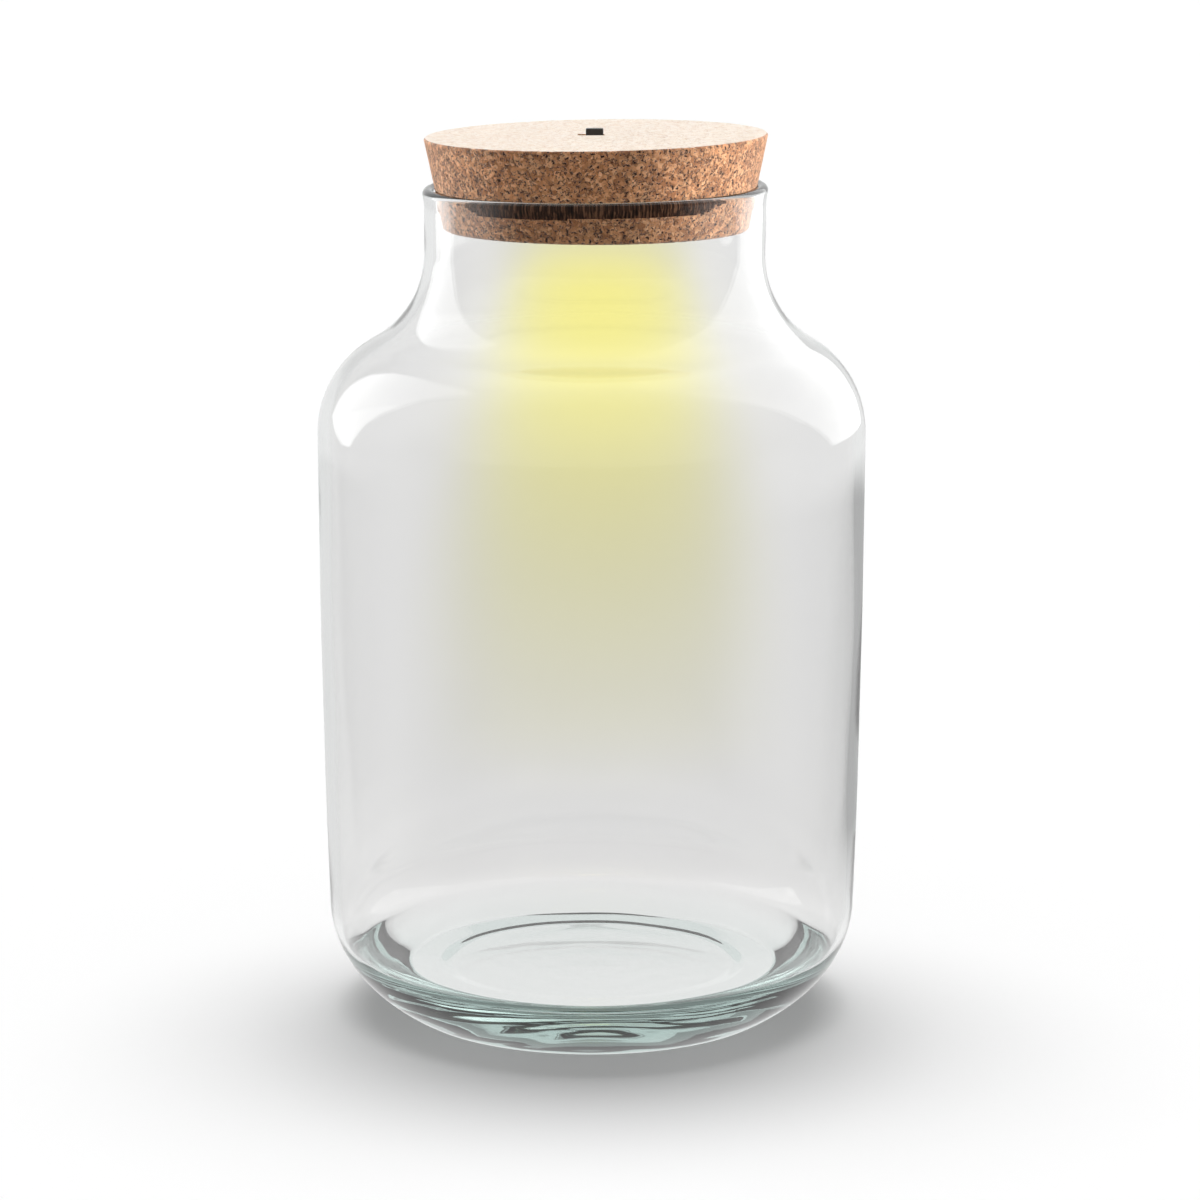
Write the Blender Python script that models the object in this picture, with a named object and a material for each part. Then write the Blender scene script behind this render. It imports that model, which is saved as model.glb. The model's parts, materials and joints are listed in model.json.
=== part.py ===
"""Hand-blown glass terrarium jar with a cork stopper that holds a battery lamp.

Metres, +Z up. The origin is the centre of the foot ring, on the surface that the jar stands on.
The lamp's switch is on top of the stopper and slides along X. The stopper's pieces are placed from
the centre of its underside.
"""

import math

import bmesh
import bpy
from mathutils import Vector

# Shared fits and roundness
FIT_GAP = 0.0003  # between pieces that rest on, or fit into, one another
CUT_OVERRUN = 0.002  # how far a cutter runs past the face that it opens
WELD_DISTANCE = 0.000001
LARGE_STEPS = 48
MEDIUM_STEPS = 36
SMALL_STEPS = 12
SHARP_ANGLE = math.radians(35)

# Glass jar, from the foot up
FOOT_RADIUS = 0.060
FOOT_RING_WIDTH = 0.009
PUNT_DEPTH = 0.0025
BASE_THICKNESS = 0.0195  # where the floor meets the heel
FLOOR_DISH = 0.004  # how much lower the floor's middle lies
HEEL_HEIGHT = 0.036  # where the heel's curve becomes the wall
HEEL_OVERRUN = 0.008  # how far below the foot that curve's ellipse would bottom out
INNER_HEEL_WIDTH = 0.0075
WALL_HEIGHT = 0.153
WALL_DRAFT = 0.0022  # how much narrower the jar is at the heel than under the shoulder
BODY_RADIUS = 0.0874
GLASS_WALL = 0.0031
SHOULDER_RADIUS = 0.033
NECK_FILLET_RADIUS = 0.0326
NECK_LENGTH = 0.021
LIP_HEIGHT = 0.005
LIP_PROUD = 0.0006

# Cork stopper
CORK_TAPER_SHARE = 0.21  # radius gained per unit of height
CORK_WALL = 0.0086  # cork left round the lamp's flange, at the underside
CORK_ROOF = 0.009  # cork left above the lamp
CORK_INSERT_DEPTH = 0.0113  # from where the cork wedges in the lip down to its underside
CORK_EDGE = 0.0006

# Light sources
LED_COUNT = 4
LED_CIRCLE_RADIUS = 0.0045
LED_LENGTH = 0.0035
LED_WIDTH = 0.0028
LED_HEIGHT = 0.0019
LED_MARGIN = 0.0004
LED_BEVEL = 0.0004

# Reflector, a bell between the board and the window
REFLECTOR_DEPTH = 0.0081
REFLECTOR_WALL = 0.001
REFLECTOR_SWELL = 0.0012  # throat to waist, beside the batteries
REFLECTOR_LIP = 0.0006

# Coin cells and what holds them
CELL_RADIUS = 0.010
CELL_THICKNESS = 0.0032
CELL_STEP = 0.0012  # the narrower negative cap
CELL_CAP_HEIGHT = 0.0005
HOLDER_WALL = 0.0011
HOLDER_FLOOR = 0.0008
CONTACT_RADIUS = 0.003
CONTACT_DOME = 0.0003
CLIP_WIDTH = 0.005
CLIP_THICKNESS = 0.0004

# Lamp housing, a cup with its mouth at the cork's underside
HOUSING_WALL = 0.0022
HOUSING_ROOF = 0.0016
FLANGE_WIDTH = 0.0044
FLANGE_THICKNESS = 0.0016
BOSS_RIM = 0.0007  # how much wider a boss is than the head of its screw
BOSS_SINK = 0.0006  # how far a boss runs up into the roof

# Circuit board
BOARD_THICKNESS = 0.0016
RESISTOR_COUNT = 2
RESISTOR_SIZE = Vector((0.0032, 0.0016, 0.0006))
RESISTOR_PITCH = 0.006
RESISTOR_SETBACK = 0.0035  # from the switch's side

# Screws
SCREW_COUNT = 3
BOARD_SCREW_HEAD_RADIUS = 0.0019
BOARD_SCREW_HEAD_HEIGHT = 0.0014
BOARD_SCREW_SHANK_RADIUS = 0.0009
BOARD_SCREW_GRIP = 0.004  # thread inside the boss
CORK_SCREW_HEAD_RADIUS = 0.0016
CORK_SCREW_SHANK_RADIUS = 0.0008
CORK_SCREW_LENGTH = 0.009
CORK_SCREW_TIP = 0.0015
CROSS_LENGTH_SHARE = 1.2  # of the head's radius
CROSS_WIDTH_SHARE = 0.3
CROSS_DEPTH_SHARE = 0.4  # of the head's height

# Slide switch
SWITCH_TRAVEL = 0.002
SWITCH_LENGTH = 0.012
SWITCH_WIDTH = 0.006
SWITCH_HEIGHT = 0.005
SWITCH_SHEET = 0.0004
SWITCH_BASE_HEIGHT = 0.0024
PIN_COUNT = 3
PIN_PITCH = 0.0025
PIN_RADIUS = 0.0004
PIN_STICK_OUT = 0.0006  # below the board
PIN_SINK = 0.0014  # into the switch's base
SLIDER_LENGTH = 0.0054
STEM_LENGTH = 0.0026
STEM_WIDTH = 0.0018
STEM_RISE = 0.005  # above the switch's case
KNOB_LENGTH = 0.0055
KNOB_WIDTH = 0.0032
KNOB_PROUD = 0.002  # above the cork
KNOB_BEVEL = 0.0003

# Twist-off cover with its window
WINDOW_RADIUS = 0.016
LEDGE_WIDTH = 0.0018
LEDGE_THICKNESS = 0.0008
DIFFUSER_THICKNESS = 0.0012
COVER_THICKNESS = 0.003
SEAL_RADIUS = 0.0005
SKIRT_THICKNESS = 0.0014
LUG_COUNT = 3
LUG_HEIGHT = 0.0016
LUG_REACH = 0.0009  # into the housing's wall
LUG_HALF_ANGLE = math.radians(5)
LUG_FIRST_ANGLE = math.radians(30)
TWIST_ANGLE = math.radians(25)
GRIP_LENGTH = 0.009
GRIP_WIDTH = 0.0024
GRIP_DEPTH = 0.0008

# Heights above the cork's underside
diffuser_height = LEDGE_THICKNESS + FIT_GAP
reflector_height = diffuser_height + DIFFUSER_THICKNESS + FIT_GAP
board_underside = reflector_height + REFLECTOR_DEPTH + FIT_GAP
board_top = board_underside + BOARD_THICKNESS
switch_height = board_top + FIT_GAP
switch_top = switch_height + SWITCH_HEIGHT
housing_roof_height = switch_top + FIT_GAP
housing_height = housing_roof_height + HOUSING_ROOF
cork_ceiling = housing_height + FIT_GAP
cork_height = cork_ceiling + CORK_ROOF
holder_top = board_underside - FIT_GAP
cell_top = holder_top - HOLDER_FLOOR - FIT_GAP
cell_bottom = cell_top - CELL_THICKNESS
lug_bottom = COVER_THICKNESS + FIT_GAP
skirt_top = lug_bottom + LUG_HEIGHT

# Radii and places across the lamp, from the axis out
throat_radius = LED_CIRCLE_RADIUS + math.hypot(LED_LENGTH, LED_WIDTH) / 2 + LED_MARGIN
waist_radius = throat_radius + REFLECTOR_SWELL
cell_bay_radius = CELL_RADIUS + FIT_GAP
holder_radius = cell_bay_radius + HOLDER_WALL
cell_offset = waist_radius + REFLECTOR_WALL + FIT_GAP + holder_radius
bore_radius = cell_offset + holder_radius + FIT_GAP
housing_radius = bore_radius + HOUSING_WALL
flange_radius = housing_radius + FLANGE_WIDTH
board_radius = bore_radius - FIT_GAP
cover_radius = bore_radius - FIT_GAP
boss_circle = bore_radius - FIT_GAP - BOARD_SCREW_HEAD_RADIUS
boss_radius = BOARD_SCREW_HEAD_RADIUS + BOSS_RIM
cork_screw_circle = (housing_radius + flange_radius) / 2
diffuser_radius = WINDOW_RADIUS + LEDGE_WIDTH

# The stopper in the neck
cork_bottom_radius = flange_radius + FIT_GAP + CORK_WALL
cork_wedge_radius = cork_bottom_radius + CORK_INSERT_DEPTH * CORK_TAPER_SHARE
cork_top_radius = cork_bottom_radius + cork_height * CORK_TAPER_SHARE
neck_bore_radius = cork_wedge_radius + FIT_GAP
neck_radius = neck_bore_radius + GLASS_WALL

# The jar's curves
heel_radius = BODY_RADIUS - WALL_DRAFT
shoulder_height = HEEL_HEIGHT + WALL_HEIGHT
shoulder_centre_radius = BODY_RADIUS - SHOULDER_RADIUS
fillet_centre_radius = neck_radius + NECK_FILLET_RADIUS
fillet_run = fillet_centre_radius - shoulder_centre_radius
fillet_rise = math.sqrt((SHOULDER_RADIUS + NECK_FILLET_RADIUS) ** 2 - fillet_run**2)
neck_height = shoulder_height + fillet_rise
jar_height = neck_height + NECK_LENGTH
lip_radius = (GLASS_WALL + LIP_PROUD) / 2
lip_centre_height = jar_height - lip_radius
lid_height = lip_centre_height - CORK_INSERT_DEPTH


def clear_scene():
    for item in list(bpy.data.objects):
        bpy.data.objects.remove(item)


# Finishes


def principled(name, colour, roughness, metallic=0.0, transmission=0.0):
    """The material of that name, made the first time that it is asked for."""
    material = bpy.data.materials.get(name)
    if material is None:
        material = bpy.data.materials.new(name)
        material.use_nodes = True
        shader = material.node_tree.nodes["Principled BSDF"]
        shader.inputs["Base Color"].default_value = (*colour, 1.0)
        shader.inputs["Roughness"].default_value = roughness
        shader.inputs["Metallic"].default_value = metallic
        shader.inputs["Transmission Weight"].default_value = transmission
    return material


def clear_glass():
    return principled("clear_glass", (0.93, 0.98, 0.96), 0.02, transmission=1.0)


def agglomerated_cork():
    return principled("agglomerated_cork", (0.47, 0.27, 0.16), 0.85)


def white_plastic():
    return principled("white_plastic", (0.80, 0.79, 0.76), 0.45)


def black_plastic():
    return principled("black_plastic", (0.025, 0.022, 0.022), 0.5)


def frosted_plastic():
    return principled("frosted_plastic", (0.92, 0.90, 0.80), 0.6, transmission=0.4)


def silvered_plastic():
    return principled("silvered_plastic", (0.85, 0.85, 0.86), 0.15, metallic=1.0)


def board_laminate():
    return principled("board_laminate", (0.03, 0.19, 0.08), 0.5)


def light_source_resin():
    return principled("light_source_resin", (0.90, 0.76, 0.22), 0.35)


def steel():
    return principled("steel", (0.62, 0.62, 0.63), 0.3, metallic=1.0)


def brass():
    return principled("brass", (0.80, 0.62, 0.28), 0.3, metallic=1.0)


def seal_rubber():
    return principled("seal_rubber", (0.10, 0.10, 0.10), 0.7)


# Modelling helpers


def named_object(name, bm, finish, parent=None, location=(0.0, 0.0, 0.0), turn=0.0):
    """The finished mesh as an object, turned about Z and placed in its parent's frame."""
    bmesh.ops.recalc_face_normals(bm, faces=bm.faces)
    mesh = bpy.data.meshes.new(name)
    bm.to_mesh(mesh)
    bm.free()
    mesh.shade_smooth()
    mesh.set_sharp_from_angle(angle=SHARP_ANGLE)
    item = bpy.data.objects.new(name, mesh)
    bpy.context.scene.collection.objects.link(item)
    if finish is not None:
        mesh.materials.append(finish)
    item.parent = parent
    item.location = location
    item.rotation_euler.z = turn
    return item


def joint_empty(name, parent=None, location=(0.0, 0.0, 0.0)):
    """An empty on a joint's axis, which the pieces that move together are parented to."""
    item = bpy.data.objects.new(name, None)
    bpy.context.scene.collection.objects.link(item)
    item.parent = parent
    item.location = location
    return item


def turned(name, outline, steps, finish, parent=None, location=(0.0, 0.0, 0.0)):
    """An outline of (radius, height) points spun about Z. It runs from axis to axis, or closes on itself."""
    bm = bmesh.new()
    corners = [bm.verts.new((radius, 0.0, height)) for radius, height in outline]
    for first, second in zip(corners, corners[1:]):
        bm.edges.new((first, second))
    if outline[0][0] > 0:
        bm.edges.new((corners[-1], corners[0]))
    bmesh.ops.spin(
        bm,
        geom=bm.verts[:] + bm.edges[:],
        cent=(0.0, 0.0, 0.0),
        axis=(0.0, 0.0, 1.0),
        angle=math.tau,
        steps=steps,
        use_merge=True,
    )
    bmesh.ops.remove_doubles(bm, verts=bm.verts, dist=WELD_DISTANCE)
    return named_object(name, bm, finish, parent, location)


def prism(name, outline, bottom, top, finish, parent=None, location=(0.0, 0.0, 0.0), turn=0.0):
    """A plan outline of (x, y) points, extruded from one height to another."""
    bm = bmesh.new()
    face = bm.faces.new([bm.verts.new((x, y, bottom)) for x, y in outline])
    raised = bmesh.ops.extrude_face_region(bm, geom=[face])["geom"]
    corners = [part for part in raised if isinstance(part, bmesh.types.BMVert)]
    bmesh.ops.translate(bm, verts=corners, vec=(0.0, 0.0, top - bottom))
    return named_object(name, bm, finish, parent, location, turn)


def block(name, size, bottom, finish, parent=None, place=(0.0, 0.0), turn=0.0):
    """A box of that size that stands on a height, with its middle over a place in plan."""
    half_length = size[0] / 2
    half_width = size[1] / 2
    corners = [
        (-half_length, -half_width),
        (half_length, -half_width),
        (half_length, half_width),
        (-half_length, half_width),
    ]
    return prism(name, corners, bottom, bottom + size[2], finish, parent, (*place, 0.0), turn)


def rod(name, radius, bottom, top, finish, parent=None, place=(0.0, 0.0)):
    """A plain upright cylinder."""
    outline = [(0.0, bottom), (radius, bottom), (radius, top), (0.0, top)]
    return turned(name, outline, SMALL_STEPS, finish, parent, (*place, 0.0))


def ring_sector(name, radii, angles, heights, finish, parent):
    """A piece of a flat ring, between two radii, two angles and two heights."""
    steps = max(2, math.ceil((angles[1] - angles[0]) / (math.tau / MEDIUM_STEPS)))
    sweep = [angles[0] + (angles[1] - angles[0]) * step / steps for step in range(steps + 1)]
    outline = [on_circle(radii[1], angle) for angle in sweep]
    outline += [on_circle(radii[0], angle) for angle in reversed(sweep)]
    return prism(name, outline, heights[0], heights[1], finish, parent)


def subtract(target, cutter):
    """Cuts one object out of another, and keeps the cutter as a wire guide."""
    modifier = target.modifiers.new(cutter.name, "BOOLEAN")
    modifier.operation = "DIFFERENCE"
    modifier.object = cutter
    make_guide(cutter)


def unite(target, other):
    """Joins one object to another, and keeps the other as a wire guide."""
    modifier = target.modifiers.new(other.name, "BOOLEAN")
    modifier.operation = "UNION"
    modifier.object = other
    make_guide(other)


def make_guide(item):
    item.hide_render = True
    item.display_type = "WIRE"


def bevel_edges(item, width):
    modifier = item.modifiers.new("edge_bevel", "BEVEL")
    modifier.width = width
    modifier.segments = 2


def on_circle(radius, angle):
    return (radius * math.cos(angle), radius * math.sin(angle))


def around(count, first_angle=0.0):
    """The angles of pieces spaced evenly round the axis."""
    return [first_angle + math.tau * index / count for index in range(count)]


def arc(centre, radii, start, stop, steps):
    """Outline points on an elliptical arc, from one angle to another, both ends included."""
    angles = [start + (stop - start) * step / steps for step in range(steps + 1)]
    return [
        (centre[0] + radii[0] * math.cos(angle), centre[1] + radii[1] * math.sin(angle))
        for angle in angles
    ]


def screw_angles():
    return around(SCREW_COUNT, math.pi / 2)


# Glass jar


def wall_outline(inset, steps):
    """The side wall from the heel up, which swells gently towards the shoulder."""
    points = []
    for step in range(1, steps):
        share = step / steps
        radius = BODY_RADIUS - inset - WALL_DRAFT * (1 - share) ** 2
        points.append((radius, HEEL_HEIGHT + WALL_HEIGHT * share))
    return points


def shoulder_outline(inset, steps):
    """The shoulder's convex arc and the neck's concave one, which meet at a common tangent."""
    meeting = math.atan2(fillet_rise, fillet_run)
    outer = SHOULDER_RADIUS - inset
    inner = NECK_FILLET_RADIUS + inset
    shoulder = arc(
        (shoulder_centre_radius, shoulder_height), (outer, outer), 0.0, meeting, steps
    )
    neck = arc(
        (fillet_centre_radius, neck_height), (inner, inner), math.pi + meeting, math.pi, steps
    )
    return shoulder + neck[1:]


def foot_outline(steps):
    """The punt under the jar, from the axis out to the flat ring that the jar stands on."""
    punt_radius = FOOT_RADIUS - FOOT_RING_WIDTH
    shares = [step / steps for step in range(steps + 1)]
    return [(punt_radius * share, PUNT_DEPTH * (1 - share**2)) for share in shares]


def outer_heel_outline(steps):
    """The heel's elliptical curve, cut off flat by the foot."""
    drop = HEEL_HEIGHT + HEEL_OVERRUN
    foot_angle = math.asin(HEEL_HEIGHT / drop)
    reach = (heel_radius - FOOT_RADIUS) / (1 - math.cos(foot_angle))
    return arc((heel_radius - reach, HEEL_HEIGHT), (reach, drop), -foot_angle, 0.0, steps)


def inner_heel_outline(steps):
    rise = HEEL_HEIGHT - BASE_THICKNESS
    centre = (heel_radius - GLASS_WALL - INNER_HEEL_WIDTH, HEEL_HEIGHT)
    return arc(centre, (INNER_HEEL_WIDTH, rise), 0.0, -math.pi / 2, steps)


def floor_outline(steps):
    """The floor inside, dished, from the heel in to the axis."""
    radius = heel_radius - GLASS_WALL - INNER_HEEL_WIDTH
    shares = [1 - step / steps for step in range(1, steps + 1)]
    return [(radius * share, BASE_THICKNESS - FLOOR_DISH * (1 - share**2)) for share in shares]


def lip_outline(steps):
    """The fire-rounded lip, from the bead's underside over the top to the neck's bore."""
    centre = (neck_bore_radius + lip_radius, lip_centre_height)
    start = (neck_radius, jar_height - LIP_HEIGHT)
    return [start] + arc(centre, (lip_radius, lip_radius), 0.0, math.pi, steps)


def build_glass_jar():
    outside = foot_outline(3) + outer_heel_outline(7) + wall_outline(0.0, 4)
    outside += shoulder_outline(0.0, 6)
    inside = wall_outline(GLASS_WALL, 4) + shoulder_outline(GLASS_WALL, 6)
    outline = outside + lip_outline(6) + inside[::-1] + inner_heel_outline(6) + floor_outline(3)
    return turned("glass_jar", outline, LARGE_STEPS, clear_glass())


# Cork stopper


def build_cork_stopper(lid):
    recess_radius = housing_radius + FIT_GAP
    counterbore_radius = flange_radius + FIT_GAP
    counterbore_height = FLANGE_THICKNESS + FIT_GAP
    outline = [
        (0.0, cork_ceiling),
        (recess_radius, cork_ceiling),
        (recess_radius, counterbore_height),
        (counterbore_radius, counterbore_height),
        (counterbore_radius, 0.0),
        (cork_bottom_radius - CORK_EDGE, 0.0),
        (cork_bottom_radius + CORK_EDGE * CORK_TAPER_SHARE, CORK_EDGE),
        (cork_top_radius - CORK_EDGE * CORK_TAPER_SHARE, cork_height - CORK_EDGE),
        (cork_top_radius - CORK_EDGE, cork_height),
        (0.0, cork_height),
    ]
    cork = turned("cork_stopper", outline, LARGE_STEPS, agglomerated_cork(), lid)
    subtract(cork, knob_slot("cork_slot_cutter", cork_ceiling, CORK_ROOF, lid))
    for index, angle in enumerate(screw_angles()):
        pilot = rod(
            f"cork_pilot_cutter_{index + 1}",
            CORK_SCREW_SHANK_RADIUS + FIT_GAP,
            0.0,
            CORK_SCREW_LENGTH + FIT_GAP,
            None,
            lid,
            on_circle(cork_screw_circle, angle),
        )
        subtract(cork, pilot)
    return cork


def knob_slot(name, bottom, thickness, lid):
    """The cutter for the slot that the knob slides in, through a roof of that thickness."""
    size = (
        KNOB_LENGTH + SWITCH_TRAVEL + 2 * FIT_GAP,
        KNOB_WIDTH + 2 * FIT_GAP,
        thickness + 2 * CUT_OVERRUN,
    )
    return block(name, size, bottom - CUT_OVERRUN, None, lid)


# Lamp housing


def build_lamp_housing(lid):
    outline = [
        (0.0, housing_roof_height),
        (bore_radius, housing_roof_height),
        (bore_radius, 0.0),
        (flange_radius, 0.0),
        (flange_radius, FLANGE_THICKNESS),
        (housing_radius, FLANGE_THICKNESS),
        (housing_radius, housing_height),
        (0.0, housing_height),
    ]
    housing = turned("lamp_housing", outline, LARGE_STEPS, white_plastic(), lid)
    for index, angle in enumerate(screw_angles()):
        add_boss(housing, index + 1, angle, lid)
        sink_cork_screw(housing, index + 1, angle, lid)
    for index, angle in enumerate(around(LUG_COUNT, LUG_FIRST_ANGLE)):
        cut_bayonet(housing, index + 1, angle, lid)
    slot = knob_slot("housing_slot_cutter", housing_roof_height, HOUSING_ROOF, lid)
    subtract(housing, slot)
    return housing


def add_boss(housing, number, angle, lid):
    """A boss down from the roof to the board, with a blind hole for the board's screw."""
    bottom = board_top + FIT_GAP
    top = housing_roof_height + BOSS_SINK
    hole_radius = BOARD_SCREW_SHANK_RADIUS + FIT_GAP
    hole_top = bottom + BOARD_SCREW_GRIP
    outline = [
        (0.0, hole_top),
        (hole_radius, hole_top),
        (hole_radius, bottom),
        (boss_radius, bottom),
        (boss_radius, top),
        (0.0, top),
    ]
    place = (*on_circle(boss_circle, angle), 0.0)
    unite(housing, turned(f"boss_{number}", outline, SMALL_STEPS, None, lid, place))


def sink_cork_screw(housing, number, angle, lid):
    """The countersunk hole through the flange for a screw into the cork."""
    head_height = CORK_SCREW_HEAD_RADIUS - CORK_SCREW_SHANK_RADIUS
    wide = CORK_SCREW_HEAD_RADIUS + FIT_GAP
    narrow = CORK_SCREW_SHANK_RADIUS + FIT_GAP
    outline = [
        (0.0, -CUT_OVERRUN),
        (wide, -CUT_OVERRUN),
        (wide, 0.0),
        (narrow, head_height),
        (narrow, FLANGE_THICKNESS + CUT_OVERRUN),
        (0.0, FLANGE_THICKNESS + CUT_OVERRUN),
    ]
    place = on_circle(cork_screw_circle, angle)
    name = f"countersink_cutter_{number}"
    subtract(housing, turned(name, outline, SMALL_STEPS, None, lid, (*place, 0.0)))


def cut_bayonet(housing, number, angle, lid):
    """An L-shaped groove in the bore: an entry up from the mouth, then a run to the locked place."""
    inside = bore_radius - CUT_OVERRUN
    run_floor = bore_radius + LUG_REACH + FIT_GAP
    entry_floor = run_floor + FIT_GAP
    half = LUG_HALF_ANGLE + FIT_GAP / bore_radius
    unlocked = angle - TWIST_ANGLE
    run = ring_sector(
        f"groove_run_cutter_{number}",
        (inside, run_floor),
        (unlocked, angle + half),
        (lug_bottom - FIT_GAP, skirt_top + FIT_GAP),
        None,
        lid,
    )
    entry = ring_sector(
        f"groove_entry_cutter_{number}",
        (inside - FIT_GAP, entry_floor),
        (unlocked - half, unlocked + half),
        (-CUT_OVERRUN, skirt_top + 2 * FIT_GAP),
        None,
        lid,
    )
    subtract(housing, run)
    subtract(housing, entry)


# Screws


def cross_recess(screw, name, head_radius, depth, parent, place):
    """Two crossed slots in a head that faces down at height zero."""
    for index in range(2):
        size = (
            head_radius * CROSS_LENGTH_SHARE,
            head_radius * CROSS_WIDTH_SHARE,
            depth + CUT_OVERRUN,
        )
        bottom = place[2] - CUT_OVERRUN
        turn = index * math.pi / 2
        slot = block(f"{name}_cross_cutter_{index + 1}", size, bottom, None, parent, place[:2], turn)
        subtract(screw, slot)


def build_cork_screw(number, angle, lid):
    """A countersunk screw, flush with the flange, driven up into the cork."""
    head_height = CORK_SCREW_HEAD_RADIUS - CORK_SCREW_SHANK_RADIUS
    outline = [
        (0.0, 0.0),
        (CORK_SCREW_HEAD_RADIUS, 0.0),
        (CORK_SCREW_SHANK_RADIUS, head_height),
        (CORK_SCREW_SHANK_RADIUS, CORK_SCREW_LENGTH - CORK_SCREW_TIP),
        (0.0, CORK_SCREW_LENGTH),
    ]
    name = f"housing_screw_{number}"
    place = (*on_circle(cork_screw_circle, angle), 0.0)
    screw = turned(name, outline, SMALL_STEPS, steel(), lid, place)
    cross_recess(screw, name, CORK_SCREW_HEAD_RADIUS, head_height * CROSS_DEPTH_SHARE, lid, place)
    return screw


def build_board_screw(number, angle, lid):
    """A pan-head screw up through the board into a boss of the housing."""
    head_top = board_underside - FIT_GAP
    head_bottom = head_top - BOARD_SCREW_HEAD_HEIGHT
    tip = board_top + BOARD_SCREW_GRIP - FIT_GAP
    outline = [
        (0.0, head_bottom),
        (BOARD_SCREW_HEAD_RADIUS, head_bottom),
        (BOARD_SCREW_HEAD_RADIUS, head_top),
        (BOARD_SCREW_SHANK_RADIUS, head_top),
        (BOARD_SCREW_SHANK_RADIUS, tip),
        (0.0, tip),
    ]
    name = f"board_screw_{number}"
    place = on_circle(boss_circle, angle)
    screw = turned(name, outline, SMALL_STEPS, steel(), lid, (*place, 0.0))
    depth = BOARD_SCREW_HEAD_HEIGHT * CROSS_DEPTH_SHARE
    cross_recess(screw, name, BOARD_SCREW_HEAD_RADIUS, depth, lid, (*place, head_bottom))
    return screw


# Circuit board


def pin_places():
    """Where the switch's pins stand, in plan."""
    middle = (PIN_COUNT - 1) / 2
    return [(PIN_PITCH * (index - middle), 0.0) for index in range(PIN_COUNT)]


def build_circuit_board(lid):
    outline = [
        (0.0, board_underside),
        (board_radius, board_underside),
        (board_radius, board_top),
        (0.0, board_top),
    ]
    board = turned("circuit_board", outline, MEDIUM_STEPS, board_laminate(), lid)
    screw_hole = BOARD_SCREW_SHANK_RADIUS + FIT_GAP
    holes = [(on_circle(boss_circle, angle), screw_hole) for angle in screw_angles()]
    holes += [(place, PIN_RADIUS + FIT_GAP) for place in pin_places()]
    for index, (place, radius) in enumerate(holes):
        bottom = board_underside - CUT_OVERRUN
        top = board_top + CUT_OVERRUN
        subtract(board, rod(f"board_hole_cutter_{index + 1}", radius, bottom, top, None, lid, place))
    return board


def build_resistor(number, lid):
    """A chip resistor on the board's upper side, beside the switch."""
    middle = (RESISTOR_COUNT + 1) / 2
    place = (RESISTOR_PITCH * (number - middle), SWITCH_WIDTH / 2 + RESISTOR_SETBACK)
    bottom = board_top + FIT_GAP
    return block(f"resistor_{number}", RESISTOR_SIZE, bottom, black_plastic(), lid, place)


def build_light_source(number, angle, lid):
    """A light-emitting diode under the board, inside the reflector's throat."""
    bottom = board_underside - FIT_GAP - LED_HEIGHT
    size = (LED_WIDTH, LED_LENGTH, LED_HEIGHT)
    place = on_circle(LED_CIRCLE_RADIUS, angle)
    source = block(f"led_{number}", size, bottom, light_source_resin(), lid, place, angle)
    bevel_edges(source, LED_BEVEL)
    return source


def build_reflector(lid):
    """A thin bell: narrow between the coin cells, and flared to the window's width."""
    top = reflector_height + REFLECTOR_DEPTH
    waist_height = cell_bottom - FIT_GAP - CLIP_THICKNESS - FIT_GAP
    flare = (WINDOW_RADIUS - waist_radius, waist_height - reflector_height - REFLECTOR_LIP)
    centre = (WINDOW_RADIUS, waist_height)
    inside = [(throat_radius, top)] + arc(centre, flare, math.pi, math.pi * 1.5, 5)
    inside.append((WINDOW_RADIUS, reflector_height))
    outside = [(radius + REFLECTOR_WALL, height) for radius, height in inside[:2]]
    over = (flare[0] - REFLECTOR_WALL, flare[1] - REFLECTOR_LIP)
    outside += arc(centre, over, math.pi, math.pi * 1.5, 5)[1:]
    outside += [
        (WINDOW_RADIUS + REFLECTOR_WALL, outside[-1][1]),
        (WINDOW_RADIUS + REFLECTOR_WALL, reflector_height),
    ]
    outline = inside + outside[::-1]
    return turned("reflector", outline, MEDIUM_STEPS, silvered_plastic(), lid)


# Coin cells and their holders


def build_coin_cell(number, side, lid):
    """A coin cell, its narrower negative cap up against the contact."""
    cap_bottom = cell_top - CELL_CAP_HEIGHT
    outline = [
        (0.0, cell_bottom),
        (CELL_RADIUS, cell_bottom),
        (CELL_RADIUS, cap_bottom),
        (CELL_RADIUS - CELL_STEP, cap_bottom),
        (CELL_RADIUS - CELL_STEP, cell_top),
        (0.0, cell_top),
    ]
    place = (side * cell_offset, 0.0, 0.0)
    return turned(f"coin_cell_{number}", outline, MEDIUM_STEPS, steel(), lid, place)


def build_cell_holder(number, side, lid):
    """A round tray under the board, open downwards, with a hole in its floor for the contact."""
    hole_radius = CONTACT_RADIUS + FIT_GAP
    floor_height = holder_top - HOLDER_FLOOR
    outline = [
        (hole_radius, holder_top),
        (holder_radius, holder_top),
        (holder_radius, cell_bottom),
        (cell_bay_radius, cell_bottom),
        (cell_bay_radius, floor_height),
        (hole_radius, floor_height),
    ]
    place = (side * cell_offset, 0.0, 0.0)
    return turned(f"cell_holder_{number}", outline, MEDIUM_STEPS, black_plastic(), lid, place)


def build_cell_contact(number, side, lid):
    """The domed negative contact between the board and the cell."""
    bottom = cell_top + FIT_GAP
    dome = arc((0.0, bottom + CONTACT_DOME), (CONTACT_RADIUS, CONTACT_DOME), -math.pi / 2, 0.0, 3)
    outline = [(0.0, bottom)] + dome[1:] + [(CONTACT_RADIUS, holder_top), (0.0, holder_top)]
    place = (side * cell_offset, 0.0, 0.0)
    return turned(f"cell_contact_{number}", outline, SMALL_STEPS, brass(), lid, place)


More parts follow.
